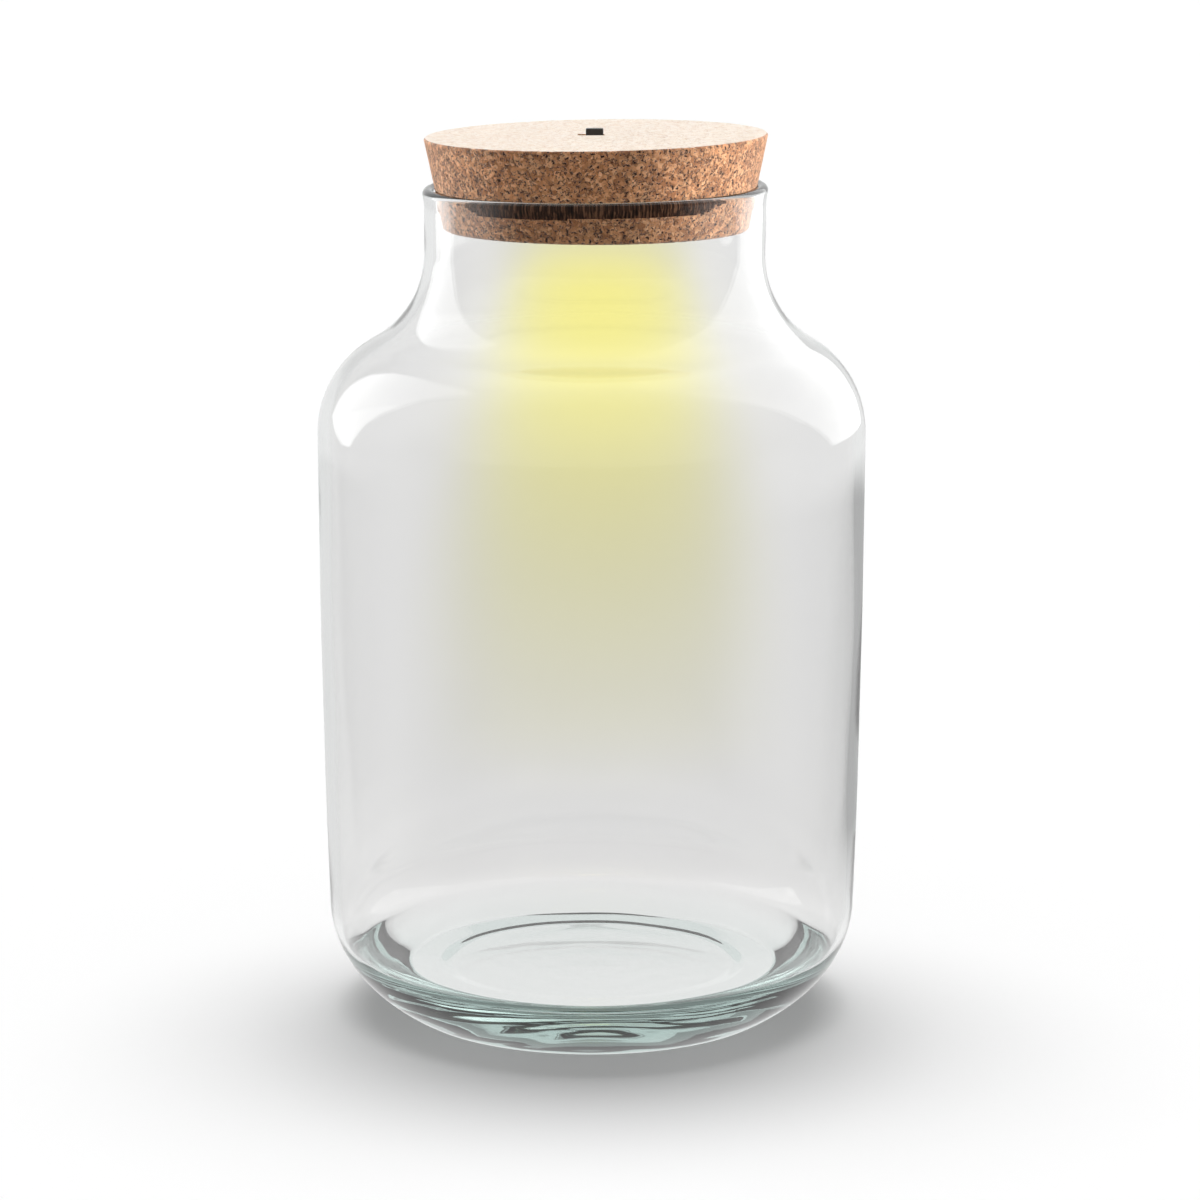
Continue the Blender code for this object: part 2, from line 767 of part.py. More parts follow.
def build_cell_clip(number, side, lid):
    """The positive contact: a strip bent over the cell, with both legs up to the board."""
    leg_inside = holder_radius + FIT_GAP
    leg_outside = leg_inside + CLIP_THICKNESS
    strap_top = cell_bottom - FIT_GAP
    strap_bottom = strap_top - CLIP_THICKNESS
    half = CLIP_WIDTH / 2
    section = [
        (-leg_outside, strap_bottom),
        (leg_outside, strap_bottom),
        (leg_outside, holder_top),
        (leg_inside, holder_top),
        (leg_inside, strap_top),
        (-leg_inside, strap_top),
        (-leg_inside, holder_top),
        (-leg_outside, holder_top),
    ]
    bm = bmesh.new()
    face = bm.faces.new([bm.verts.new((-half, across, height)) for across, height in section])
    raised = bmesh.ops.extrude_face_region(bm, geom=[face])["geom"]
    corners = [part for part in raised if isinstance(part, bmesh.types.BMVert)]
    bmesh.ops.translate(bm, verts=corners, vec=(CLIP_WIDTH, 0.0, 0.0))
    place = (side * cell_offset, 0.0, 0.0)
    return named_object(f"cell_clip_{number}", bm, steel(), lid, place)


# Slide switch


def build_switch_case(lid):
    """A folded steel box, open below, with a slot in its roof for the stem."""
    case = block(
        "switch_case",
        (SWITCH_LENGTH, SWITCH_WIDTH, SWITCH_HEIGHT),
        switch_height,
        steel(),
        lid,
    )
    hollow = block(
        "case_hollow_cutter",
        (
            SWITCH_LENGTH - 2 * SWITCH_SHEET,
            SWITCH_WIDTH - 2 * SWITCH_SHEET,
            SWITCH_HEIGHT - SWITCH_SHEET + CUT_OVERRUN,
        ),
        switch_height - CUT_OVERRUN,
        None,
        lid,
    )
    slot = block(
        "case_slot_cutter",
        (
            STEM_LENGTH + SWITCH_TRAVEL + 2 * FIT_GAP,
            STEM_WIDTH + 2 * FIT_GAP,
            SWITCH_SHEET + 2 * CUT_OVERRUN,
        ),
        switch_top - SWITCH_SHEET - CUT_OVERRUN,
        None,
        lid,
    )
    subtract(case, hollow)
    subtract(case, slot)
    return case


def build_switch_base(lid):
    """The insulating floor of the switch, with blind holes for its pins."""
    inset = 2 * (SWITCH_SHEET + FIT_GAP)
    size = (SWITCH_LENGTH - inset, SWITCH_WIDTH - inset, SWITCH_BASE_HEIGHT)
    base = block("switch_base", size, switch_height, black_plastic(), lid)
    for index, pin_place in enumerate(pin_places()):
        hole = rod(
            f"base_hole_cutter_{index + 1}",
            PIN_RADIUS + FIT_GAP,
            switch_height - CUT_OVERRUN,
            switch_height + PIN_SINK + FIT_GAP,
            None,
            lid,
            pin_place,
        )
        subtract(base, hole)
    return base


def build_switch_pin(number, place, lid):
    """A pin from inside the switch's base down through the board."""
    bottom = board_underside - PIN_STICK_OUT
    top = switch_height + PIN_SINK
    return rod(f"switch_pin_{number}", PIN_RADIUS, bottom, top, brass(), lid, place)


def build_switch_lever(slider):
    """The block that slides inside the case, with a stem up through the case's slot."""
    inset = 2 * (SWITCH_SHEET + FIT_GAP)
    bottom = switch_height + SWITCH_BASE_HEIGHT + FIT_GAP
    top = switch_top - SWITCH_SHEET - FIT_GAP
    size = (SLIDER_LENGTH, SWITCH_WIDTH - inset, top - bottom)
    lever = block("switch_lever", size, bottom, black_plastic(), slider)
    stem_height = switch_top + STEM_RISE - bottom
    stem = block("lever_stem", (STEM_LENGTH, STEM_WIDTH, stem_height), bottom, None, slider)
    unite(lever, stem)
    return lever


def build_switch_knob(slider):
    """The tall cap pushed over the stem, up through the cork to the finger."""
    bottom = switch_top + FIT_GAP
    height = cork_height + KNOB_PROUD - bottom
    knob = block(
        "switch_knob", (KNOB_LENGTH, KNOB_WIDTH, height), bottom, black_plastic(), slider
    )
    bevel_edges(knob, KNOB_BEVEL)
    socket = block(
        "knob_socket_cutter",
        (STEM_LENGTH + 2 * FIT_GAP, STEM_WIDTH + 2 * FIT_GAP, STEM_RISE + CUT_OVERRUN),
        bottom - CUT_OVERRUN,
        None,
        slider,
    )
    subtract(knob, socket)
    return knob


# Twist-off cover


def build_cover_ring(cover):
    """The ring that closes the housing's mouth, with a seal groove in its rim and lugs on its skirt."""
    pocket_radius = diffuser_radius + FIT_GAP
    seal_middle = COVER_THICKNESS / 2
    groove_half = SEAL_RADIUS + FIT_GAP
    groove_floor = cover_radius - 2 * SEAL_RADIUS - FIT_GAP
    skirt_inside = cover_radius - SKIRT_THICKNESS
    outline = [
        (WINDOW_RADIUS, 0.0),
        (cover_radius, 0.0),
        (cover_radius, seal_middle - groove_half),
        (groove_floor, seal_middle - groove_half),
        (groove_floor, seal_middle + groove_half),
        (cover_radius, seal_middle + groove_half),
        (cover_radius, skirt_top),
        (skirt_inside, skirt_top),
        (skirt_inside, COVER_THICKNESS),
        (pocket_radius, COVER_THICKNESS),
        (pocket_radius, LEDGE_THICKNESS),
        (WINDOW_RADIUS, LEDGE_THICKNESS),
    ]
    ring = turned("cover_ring", outline, LARGE_STEPS, white_plastic(), cover)
    for index, angle in enumerate(around(LUG_COUNT, LUG_FIRST_ANGLE)):
        lug = ring_sector(
            f"lug_{index + 1}",
            (cover_radius - SKIRT_THICKNESS / 2, bore_radius + LUG_REACH),
            (angle - LUG_HALF_ANGLE, angle + LUG_HALF_ANGLE),
            (lug_bottom, skirt_top),
            None,
            cover,
        )
        unite(ring, lug)
    for index, side in enumerate((-1, 1)):
        middle = side * (pocket_radius + groove_floor) / 2
        size = (GRIP_WIDTH, GRIP_LENGTH, GRIP_DEPTH + CUT_OVERRUN)
        name = f"grip_cutter_{index + 1}"
        subtract(ring, block(name, size, -CUT_OVERRUN, None, cover, (0.0, middle)))
    return ring


def build_cover_seal(cover):
    """The round rubber ring in the cover's groove."""
    centre = (cover_radius - SEAL_RADIUS, COVER_THICKNESS / 2)
    section = arc(centre, (SEAL_RADIUS, SEAL_RADIUS), 0.0, math.tau, 8)[:-1]
    return turned("cover_seal", section, LARGE_STEPS, seal_rubber(), cover)


def build_diffuser(cover):
    """The frosted window, which lies on the cover's ledge."""
    top = diffuser_height + DIFFUSER_THICKNESS
    outline = [
        (0.0, diffuser_height),
        (diffuser_radius, diffuser_height),
        (diffuser_radius, top),
        (0.0, top),
    ]
    return turned("diffuser", outline, MEDIUM_STEPS, frosted_plastic(), cover)


# Assembly


def build_lamp(lid):
    """Everything that is screwed, soldered or glued into the stopper and doesn't move in it."""
    build_lamp_housing(lid)
    build_circuit_board(lid)
    build_reflector(lid)
    build_switch_case(lid)
    build_switch_base(lid)
    for index, angle in enumerate(screw_angles()):
        build_cork_screw(index + 1, angle, lid)
        build_board_screw(index + 1, angle, lid)
    for index, place in enumerate(pin_places()):
        build_switch_pin(index + 1, place, lid)
    for index, angle in enumerate(around(LED_COUNT, math.pi / LED_COUNT)):
        build_light_source(index + 1, angle, lid)
    for index in range(RESISTOR_COUNT):
        build_resistor(index + 1, lid)
    for index, side in enumerate((-1, 1)):
        build_cell_holder(index + 1, side, lid)
        build_coin_cell(index + 1, side, lid)
        build_cell_contact(index + 1, side, lid)
        build_cell_clip(index + 1, side, lid)


def build():
    clear_scene()
    build_glass_jar()
    lid = joint_empty("lid_lift_axis", location=(0.0, 0.0, lid_height))
    build_cork_stopper(lid)
    build_lamp(lid)
    slider = joint_empty("switch_slide_axis", lid, (SWITCH_TRAVEL / 2, 0.0, 0.0))
    build_switch_lever(slider)
    build_switch_knob(slider)
    cover = joint_empty("cover_twist_axis", lid)
    build_cover_ring(cover)
    build_cover_seal(cover)
    build_diffuser(cover)


build()
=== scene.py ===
"""Looks of the terrarium jar: blown glass, agglomerated cork and the light of the lamp in the stopper.

Metres, +Z up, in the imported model's frame. The camera looks along +Y.
"""

import json
import math

import bmesh
import bpy
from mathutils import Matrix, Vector, noise


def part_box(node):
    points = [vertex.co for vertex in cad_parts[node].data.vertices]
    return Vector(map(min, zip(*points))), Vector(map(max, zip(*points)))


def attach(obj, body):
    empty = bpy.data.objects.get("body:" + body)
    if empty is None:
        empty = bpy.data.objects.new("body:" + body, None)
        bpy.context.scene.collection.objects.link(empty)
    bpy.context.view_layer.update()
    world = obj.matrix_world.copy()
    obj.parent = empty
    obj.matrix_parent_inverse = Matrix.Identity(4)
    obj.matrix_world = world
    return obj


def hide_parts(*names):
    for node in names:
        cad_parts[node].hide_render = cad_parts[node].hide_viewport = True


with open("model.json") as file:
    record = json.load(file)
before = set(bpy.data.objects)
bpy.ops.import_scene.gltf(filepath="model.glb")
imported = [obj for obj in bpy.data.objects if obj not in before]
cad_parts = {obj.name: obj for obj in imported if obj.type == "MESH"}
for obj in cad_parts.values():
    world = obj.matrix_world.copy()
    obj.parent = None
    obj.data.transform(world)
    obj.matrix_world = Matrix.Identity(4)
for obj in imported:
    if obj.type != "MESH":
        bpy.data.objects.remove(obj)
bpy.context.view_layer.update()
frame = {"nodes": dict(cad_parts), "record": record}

# Camera, as fitted to the photograph's outline
CAMERA_DISTANCE = 1.36
CAMERA_HEIGHT = 0.411
CAMERA_SIDE = 0.0027  # to the right of the jar's axis
CAMERA_PITCH = math.radians(11.53)
CAMERA_LENS = 129.4
SENSOR_WIDTH = 36.0

# Jar, the same curves as its solid has, but for a shallower punt and floor
FOOT_RADIUS = 0.060
FOOT_RING_WIDTH = 0.009
FOOT_EDGE = 0.0006
PUNT_DEPTH = 0.0009
PUNT_LEVEL_SHARE = 0.90
PUNT_STEPS = 80
BASE_THICKNESS = 0.0195
FLOOR_DISH = 0.003
FLOOR_STEPS = 22
HEEL_HEIGHT = 0.036
HEEL_OVERRUN = 0.008
INNER_HEEL_WIDTH = 0.0075
WALL_HEIGHT = 0.153
WALL_DRAFT = 0.0022
GLASS_WALL = 0.0031
SHOULDER_RADIUS = 0.033
NECK_FILLET_RADIUS = 0.0326
NECK_LENGTH = 0.021
LIP_HEIGHT = 0.005
LIP_PROUD = 0.0006
NECK_SHARES = (0.75, 0.5, 0.3)  # places down the neck from the lip
HEEL_STEPS = 28
INNER_HEEL_STEPS = 24
WALL_STEPS = 24
SHOULDER_STEPS = 22
LIP_STEPS = 18
JAR_STEPS = 256

# Glass's colours. A spread is a range of a value, then what the range's two ends map onto.
GLASS_COLOUR = (0.966, 0.958, 0.957)
GLASS_IOR = 1.5
GLASS_TINT = (0.50, 0.70, 0.66)
GLASS_TINT_DENSITY = 9.0
HEEL_CLEARNESS_SPREAD = (0.0, 0.04, 0.85, 0.5)  # of the height
NECK_CLEARNESS_SPREAD = (0.19, 0.24, 0.5, 0.98)

# How the hand-blown glass strays from true
NECK_LEAN = 0.0012
LEAN_FROM = 0.190
LIP_TILT = math.radians(0.65)
TILT_FROM = 0.236
STRAY_TO = 0.262  # the height from which the lean and the tilt are whole
RIPPLE_OUTSIDE = 0.00010
RIPPLE_INSIDE = 0.00022
RIPPLE_FLOOR = 0.00010
RIPPLE_FADE = 0.004  # how far above the floor's edge the floor's ripple ends
RIPPLE_CENTRE = 0.006  # how far from the axis it is whole
FOOT_STILL_HEIGHT = 0.002
AXIS_RADIUS = 0.000001
SLOW_SCALE = 26.0  # here and below, a scale is in waves per metre
SLOW_SHARE = 0.9
QUICK_SCALE = 70.0
QUICK_SHARE = 0.35
LOW_SCALE = 44.0  # more slow waves, low in the jar
LOW_SHARE = 0.7
LOW_FROM = 0.11  # the height from which down they grow
LOW_TO = 0.05  # the height from which down they are whole
FLOOR_SCALE = 420.0

# Cork
FIT_GAP = 0.0003
CORK_TAPER_SHARE = 0.21
CORK_INSERT_DEPTH = 0.0113
CORK_LEAN = 0.0014
CORK_TILT = math.radians(0.87)
CORK_EDGE = 0.0006
CORK_STEPS = 480
FACE_STEPS = 60
SIDE_STEPS = 54
UNDER_STEPS = 8
# The ring of painted shade on the cork's side, just under the lip
RING_WIDTH = 0.0044
RING_FULL_REACH = 0.032  # how far from the middle the ring keeps its width
RING_END_REACH = 0.042
RING_FADE_DEPTH = 0.02  # how far in front of the middle it starts to narrow
RING_LEAST_SHARE = 0.16  # of its width, at the sides and behind
RING_TEAR = 0.003
RING_DROP = 0.0006
SLOT_LENGTH = 0.0081
SLOT_WIDTH = 0.0038
SLOT_EDGE = 0.0008  # how far below the top its broken edge ends
SLOT_TEAR = 0.0006
SLOT_INNER_TEAR = 0.0004
FLANGE_SEAT = 0.0019
FLANGE_WIDTH = 0.0044
SLOT_TORN_FROM = 0.001  # the slot is torn towards the left, from here
SLOT_TORN_TO = -0.002
SLOT_TEAR_SCALE = 1500.0
RING_TEAR_SCALE = 900.0
FACE_POWER = 0.8  # under one, so that the top's rings lie closer towards the rim
SHARP_ANGLE = math.radians(50)
FACE_PITS = 0.00008
SIDE_PITS = 0.00016
UNDER_PITS = 0.0001
COARSE_SCALE = 700.0
FINE_SCALE = 1900.0
EVEN_DEPTH_SHARE = 0.35
FINE_DEPTH_SHARE = 0.35
PIT_DEPTH_SHARE = 1.4
PIT_FROM = 0.25
PIT_TO = 0.6

# Cork's colours
FLAKE_SCALE = 860.0
FIBRE_SCALE = 2200.0
TONE_SCALE = 150.0
SEAM_SCALE = 520.0
PIT_SCALE = 1150.0
STREAK_SCALE = 1500.0
WANDER_SCALE = 700.0
WANDER_REACH = 0.0014
SEAM_SPREAD = (0.03, 0.16, 1.0, 0.0)  # of the distance to a flake's edge
SEAM_PATCH_RANGE = (0.50, 0.60)
SEAM_STRENGTH = 0.75
PIT_STEEPNESS = 0.05
CORK_BUMP = 0.00025
STREAK_BUMP = 0.0001
STREAK_STRETCH = 0.04

# The lamp's light, below the cork's underside
LAMP_REACH = 0.18
BEAM_START_RADIUS = 0.032
BEAM_END_RADIUS = 0.070
BEAM_OFFSET = 0.0025
BEAM_ABSORPTION = 18.5
BEAM_GLOW = 2.9
BEAM_STEPS = 64
BEAM_HAZE = (1.0, 0.94, 0.0)
BEAM_SHINE = (1.0, 0.94, 0.25)
BEAM_WIDENING_RANGE = (-0.15, 0.75)  # shares of the reach between which it widens
NARROW_SPREAD = (0.40, 1.0, 1.0, 0.0)  # of the place's share of the beam's radius
WIDE_SPREAD = (0.45, 1.3, 1.0, 0.0)
BEAM_OUTLINE = [
    (0.0, -0.0004),
    (0.0475, -0.0004),
    (0.0475, -0.015),
    (0.053, -0.030),
    (0.068, -0.060),
    (0.0705, -0.10),
    (0.0725, -0.14),
    (0.0725, -LAMP_REACH),
    (0.0, -LAMP_REACH),
]
BEAM_FALL_SHARES = [
    (0.0, 0.30),
    (0.11, 1.0),
    (0.17, 0.93),
    (0.27, 0.62),
    (0.37, 0.48),
    (0.48, 0.36),
    (0.59, 0.26),
    (0.70, 0.18),
    (0.82, 0.11),
    (0.92, 0.07),
    (1.0, 0.0),
]
BEAM_WARMTH_SHARES = [(0.0, 0.6), (0.12, 1.0), (0.28, 0.85), (0.45, 0.15), (0.6, 0.0)]

# Studio
AMBIENT = 0.18
SEEN_LEVEL = 0.855
MIRRORED_LEVEL = 0.92
FLOOR_HALF = 14.0
FLOOR_DROP = 0.0002
LEFT_CARD_LEVEL = 2.2
RIGHT_CARD_LEVEL = 1.85
CARD_TOP_SHARE = 0.55
CARD_FADE_RANGE = (0.45, 0.75)  # the heights between which a card's light weakens
CARD_HEEL_SHARES = (0.15, 0.4)
FLOOR_HEEL_SHARES = (0.9, 0.9)
WORLD_THIRD_SPREAD = (0.72, 0.93, 0.38, 0.05)  # of the direction's height
WORLD_LATER_SHARE = 0.36
FRONT_LOSS_SPREAD = (-0.5, 0.1, 0.92, 0.0)  # of the direction's Y
FRONT_LOSS_INSIDE = 0.4
FLOOR_BEHIND_SPREAD = (0.93, 0.995, 0.0, 1.0)  # of the place's Y, as a share of its distance
FLOOR_FRONT_SPREAD = (-0.7, 0.0, 0.05, 1.0)
FLOOR_BESIDE_SPREAD = (-0.2, 0.1, 0.86, 0.50)  # of its X, as such a share
FLOOR_FAR_SPREAD = (0.75, 1.15, 0.0, 0.95)  # of its distance
FLOOR_UNDER_SPREAD = (0.15, 0.40, 1.0, 0.0)
FLOOR_NEAR_RANGE = (0.10, 0.19)  # FLOOR_NEAR_RANGE = (0.10, 0.19) # the distances between which the floor's painted brighter level near the jar fades
FLOOR_NEAR_LEVEL = 0.94
PAPER_GREY = 0.85
PAPER_DIM_GREY = 0.65
PAPER_LIFT = 0.12
MAX_BOUNCES = 20
GLOSSY_BOUNCES = 14
TRANSMISSION_BOUNCES = 16
OVERHEAD_ANGLE = 34
LOW_ANGLE = 12
# A sun is its name, azimuth, elevation and angle in degrees, and energy.
OVERHEAD_SUNS = [
    ("overhead_left_sun", 127, 75.5, OVERHEAD_ANGLE, 1.41),
    ("overhead_right_sun", 53, 75.5, OVERHEAD_ANGLE, 1.41),
]
LOW_SUNS = [
    ("left_sun", 149, 0.5, LOW_ANGLE, 5.2),
    ("right_sun", 12, 0.5, LOW_ANGLE, 8.5),
    ("front_sun", 270, 0.5, LOW_ANGLE, 0.22),
]

CARD_DISTANCE = 0.6
CARD_MIDDLE = 0.21
CARD_STEPS = 12
# A card's row is an elevation and the azimuths of its two ends, in degrees.
LEFT_CARD = [
    (-8, 150, 157),
    (0, 136, 162),
    (12, 135, 167),
    (24, 135, 172),
    (34, 139, 176),
    (43, 148, 180),
    (50, 160, 184),
    (56, 175, 189),
]
RIGHT_CARD = [
    (-7, 24, 58),
    (2, 16, 60),
    (14, 7, 66),
    (30, -2, 72),
    (46, -12, 80),
    (58, -20, 88),
    (70, -28, 100),
    (80, -40, 120),
]

# Looks of the lamp's material slots: the colour, the darker colour in its clouds, and the roughness
MOULDED_LOOKS = {
    "white_plastic": ((0.80, 0.79, 0.76), (0.72, 0.71, 0.68), 0.42),
    "black_plastic": ((0.030, 0.027, 0.026), (0.016, 0.014, 0.014), 0.42),
    "seal_rubber": ((0.10, 0.10, 0.10), (0.06, 0.06, 0.06), 0.75),
}
METAL_LOOKS = {
    "silvered_plastic": ((0.88, 0.88, 0.89), (0.78, 0.78, 0.80), 0.18),
    "steel": ((0.66, 0.66, 0.67), (0.48, 0.48, 0.50), 0.30),
    "brass": ((0.83, 0.65, 0.30), (0.62, 0.44, 0.18), 0.30),
}
# Lit ones: the colour, the hotter colour in its speckle, the light's strength and the speckle's scale
LIT_LOOKS = {
    "frosted_plastic": ((0.93, 0.88, 0.55), (0.98, 0.95, 0.66), 1.1, 160.0),
    "light_source_resin": ((1.0, 0.80, 0.25), (1.0, 0.92, 0.5), 2.0, 900.0),
}

# Grain of the lamp's materials, and how far it moves their roughness
CLOUD_SCALE = 90.0
CLOUD_RANGE = (0.3, 0.7)
PLASTIC_ROUGHNESS_SPAN = 0.06
PLASTIC_GRAIN_SCALE = 5200.0
METAL_SPOT_SCALE = 420.0
METAL_LINE_SCALE = 3600.0
METAL_LINE_STRETCH = 0.12
METAL_DULLER = 0.12
METAL_BRIGHTER = 0.05
LIT_GRAIN_SCALE = 2400.0
THREAD_SCALE = 260.0
TRACK_SCALE = 160.0
BOARD_GREENS = ((0.012, 0.11, 0.045), (0.03, 0.20, 0.08))
TRACK_GREEN = (0.06, 0.30, 0.11)

# The frame's own measures
jar_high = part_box("glass_jar")[1]
body_radius = jar_high.x
jar_height = jar_high.z
cork_low, cork_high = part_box("cork_stopper")
cork_bottom = cork_low.z
cork_top = cork_high.z
housing_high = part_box("lamp_housing")[1]
flange_radius = housing_high.x


# Node helpers


def add(tree, kind, inputs=None, **settings):
    """A node of that kind. An input's value is a plain value, or another node's output to link."""
    item = tree.nodes.new(kind)
    for key, value in settings.items():
        setattr(item, key, value)
    for key, value in (inputs or {}).items():
        if isinstance(value, bpy.types.NodeSocket):
            tree.links.new(value, item.inputs[key])
        else:
            item.inputs[key].default_value = value
    return item


def new_material(name, roughness=0.5, metallic=0.0, **levels):
    """A material with a Principled shader. Levels are that shader's own plain values."""
    material = bpy.data.materials.new(name)
    material.use_nodes = True
    tree = material.node_tree
    shader = tree.nodes["Principled BSDF"]
    shader.inputs["Roughness"].default_value = roughness
    shader.inputs["Metallic"].default_value = metallic
    for key, value in levels.items():
        shader.inputs[key.replace("_", " ")].default_value = value
    return material, tree, shader


def bare_material(name):
    """A material whose tree holds nothing yet."""
    material = bpy.data.materials.new(name)
    material.use_nodes = True
    material.node_tree.nodes.clear()
    return material, material.node_tree


def object_place(tree):
    return add(tree, "ShaderNodeTexCoord").outputs["Object"]


def axis_place(tree, axis, place):
    """One coordinate of a place."""
    return add(tree, "ShaderNodeSeparateXYZ", {"Vector": place}).outputs[axis]


def ray(tree, kind):
    """What the light path says of the ray at hand."""
    return add(tree, "ShaderNodeLightPath").outputs[kind]


def grain(tree, place, scale, detail=3.0, roughness=0.55):
    """Noise at so many waves per metre, as a factor."""
    inputs = {"Vector": place, "Scale": scale, "Detail": detail, "Roughness": roughness}
    return add(tree, "ShaderNodeTexNoise", inputs).outputs["Fac"]


def ramp(tree, factor, stops):
    """A colour ramp. A stop is a place from 0 to 1 with a grey level or a colour."""
    item = add(tree, "ShaderNodeValToRGB", {"Fac": factor})
    elements = item.color_ramp.elements
    while len(elements) < len(stops):
        elements.new(1.0)
    for element, (place, colour) in zip(elements, stops):
        element.position = place
        if not isinstance(colour, tuple):
            colour = (colour, colour, colour)
        element.color = (*colour, 1.0)
    return item.outputs["Color"]


def mix_colour(tree, factor, first, second, blend="MIX"):
    """Two colours, each a tuple or an output, mixed by a factor."""
    inputs = {"Factor": factor, "A": first, "B": second}
    item = add(tree, "ShaderNodeMix", data_type="RGBA", blend_type=blend)
    for key, value in inputs.items():
        sockets = [s for s in item.inputs if s.name == key and s.enabled]
        if isinstance(value, bpy.types.NodeSocket):
            tree.links.new(value, sockets[0])
        elif isinstance(value, tuple):
            sockets[0].default_value = (*value, 1.0)
        else:
            sockets[0].default_value = value
    return next(s for s in item.outputs if s.enabled)


def calculate(tree, operation, *values):
    return add(tree, "ShaderNodeMath", dict(enumerate(values)), operation=operation).outputs[0]


def times(tree, first, second):
    return calculate(tree, "MULTIPLY", first, second)


def larger(tree, first, second):
    return calculate(tree, "MAXIMUM", first, second)


def choose(tree, factor, first, second):
    """The first shader where the factor is nought, and the second where it is one."""
    return add(tree, "ShaderNodeMixShader", {0: factor, 1: first, 2: second}).outputs["Shader"]


def spread(tree, value, low, high, to_low=0.0, to_high=1.0, smooth=False):
    """Maps a range of values onto another, and holds it at both ends."""
    kind = "SMOOTHSTEP" if smooth else "LINEAR"
    inputs = {
        "Value": value,
        "From Min": low,
        "From Max": high,
        "To Min": to_low,
        "To Max": to_high,
    }
    return add(tree, "ShaderNodeMapRange", inputs, interpolation_type=kind).outputs["Result"]


def bump(tree, shader, height, distance, strength):
    inputs = {"Height": height, "Distance": distance, "Strength": strength}
    item = add(tree, "ShaderNodeBump", inputs)
    tree.links.new(item.outputs["Normal"], shader.inputs["Normal"])


# Materials of the glass and the cork


def blown_glass():
    """Clear glass with a faint green body. Most of the lamps' light passes through it to what is inside."""
    material, tree, shader = new_material(
        "blown_glass", roughness=0.0, IOR=GLASS_IOR, Transmission_Weight=1.0
    )
    shader.inputs["Base Color"].default_value = (*GLASS_COLOUR, 1.0)
    height = axis_place(tree, "Z", object_place(tree))
    heel = spread(tree, height, *HEEL_CLEARNESS_SPREAD)
    neck = spread(tree, height, *NECK_CLEARNESS_SPREAD)
    clearness = larger(tree, heel, neck)
    channels = {"Red": clearness, "Green": clearness, "Blue": clearness}
    shade = add(tree, "ShaderNodeCombineColor", channels).outputs["Color"]
    passing = add(tree, "ShaderNodeBsdfTransparent", {"Color": shade}).outputs["BSDF"]
    light = larger(tree, ray(tree, "Is Shadow Ray"), ray(tree, "Is Diffuse Ray"))
    surface = choose(tree, light, shader.outputs["BSDF"], passing)
    tint = {"Color": (*GLASS_TINT, 1.0), "Density": GLASS_TINT_DENSITY}
    body = add(tree, "ShaderNodeVolumeAbsorption", tint).outputs["Volume"]
    output = tree.nodes["Material Output"]
    tree.links.new(surface, output.inputs["Surface"])
    tree.links.new(body, output.inputs["Volume"])
    return material


def bent_place(tree, place):
    """A place that strays a little, so that the flakes' edges aren't straight."""
    wander = add(tree, "ShaderNodeTexNoise", {"Vector": place, "Scale": WANDER_SCALE, "Detail": 2.0})
    inputs = {0: wander.outputs["Color"], "Scale": WANDER_REACH}
    stray = add(tree, "ShaderNodeVectorMath", inputs, operation="SCALE").outputs["Vector"]
    return add(tree, "ShaderNodeVectorMath", {0: place, 1: stray}, operation="ADD").outputs["Vector"]


def cork(name, tints, seam, pit_level, tone_range):
    """Agglomerated cork: pressed flakes in several browns, with dark seams and pits between them."""
    material, tree, shader = new_material(name, roughness=0.8, Specular_IOR_Level=0.2, Sheen_Weight=0.45)
    place = object_place(tree)
    bent = bent_place(tree, place)
    cells = {"Vector": bent, "Scale": FLAKE_SCALE}
    flakes = add(tree, "ShaderNodeTexVoronoi", cells).outputs["Color"]
    edges = add(tree, "ShaderNodeTexVoronoi", cells, feature="DISTANCE_TO_EDGE").outputs["Distance"]
    flake = add(tree, "ShaderNodeSeparateColor", {"Color": flakes}).outputs["Red"]
    fibre = grain(tree, bent, FIBRE_SCALE, roughness=0.7)
    blend = calculate(tree, "ADD", times(tree, flake, 0.5), times(tree, fibre, 0.5))
    stops = [(0.3, tone_range[0]), (0.7, tone_range[1])]
    tone = ramp(tree, grain(tree, place, TONE_SCALE, detail=2.0), stops)
    colour = mix_colour(tree, 1.0, ramp(tree, blend, tints), tone, "MULTIPLY")
    gaps = spread(tree, edges, *SEAM_SPREAD)
    gaps = times(tree, gaps, spread(tree, grain(tree, place, SEAM_SCALE), *SEAM_PATCH_RANGE))
    pits = grain(tree, bent, PIT_SCALE, detail=2.0, roughness=0.6)
    pits = spread(tree, pits, pit_level, pit_level + PIT_STEEPNESS)
    dark = larger(tree, times(tree, gaps, SEAM_STRENGTH), pits)
    tree.links.new(mix_colour(tree, dark, colour, seam), shader.inputs["Base Color"])
    height = calculate(tree, "SUBTRACT", times(tree, fibre, 0.6), dark)
    bump(tree, shader, height, CORK_BUMP, 0.9)
    return material


def cork_side():
    """The side, turned on a lathe."""
    tints = [
        (0.15, (0.31, 0.122, 0.050)),
        (0.38, (0.52, 0.228, 0.098)),
        (0.55, (0.66, 0.315, 0.145)),
        (0.72, (0.79, 0.415, 0.210)),
        (0.88, (0.95, 0.590, 0.340)),
    ]
    return cork("cork_cut_side", tints, (0.045, 0.016, 0.007), 0.57, (0.80, 1.14))


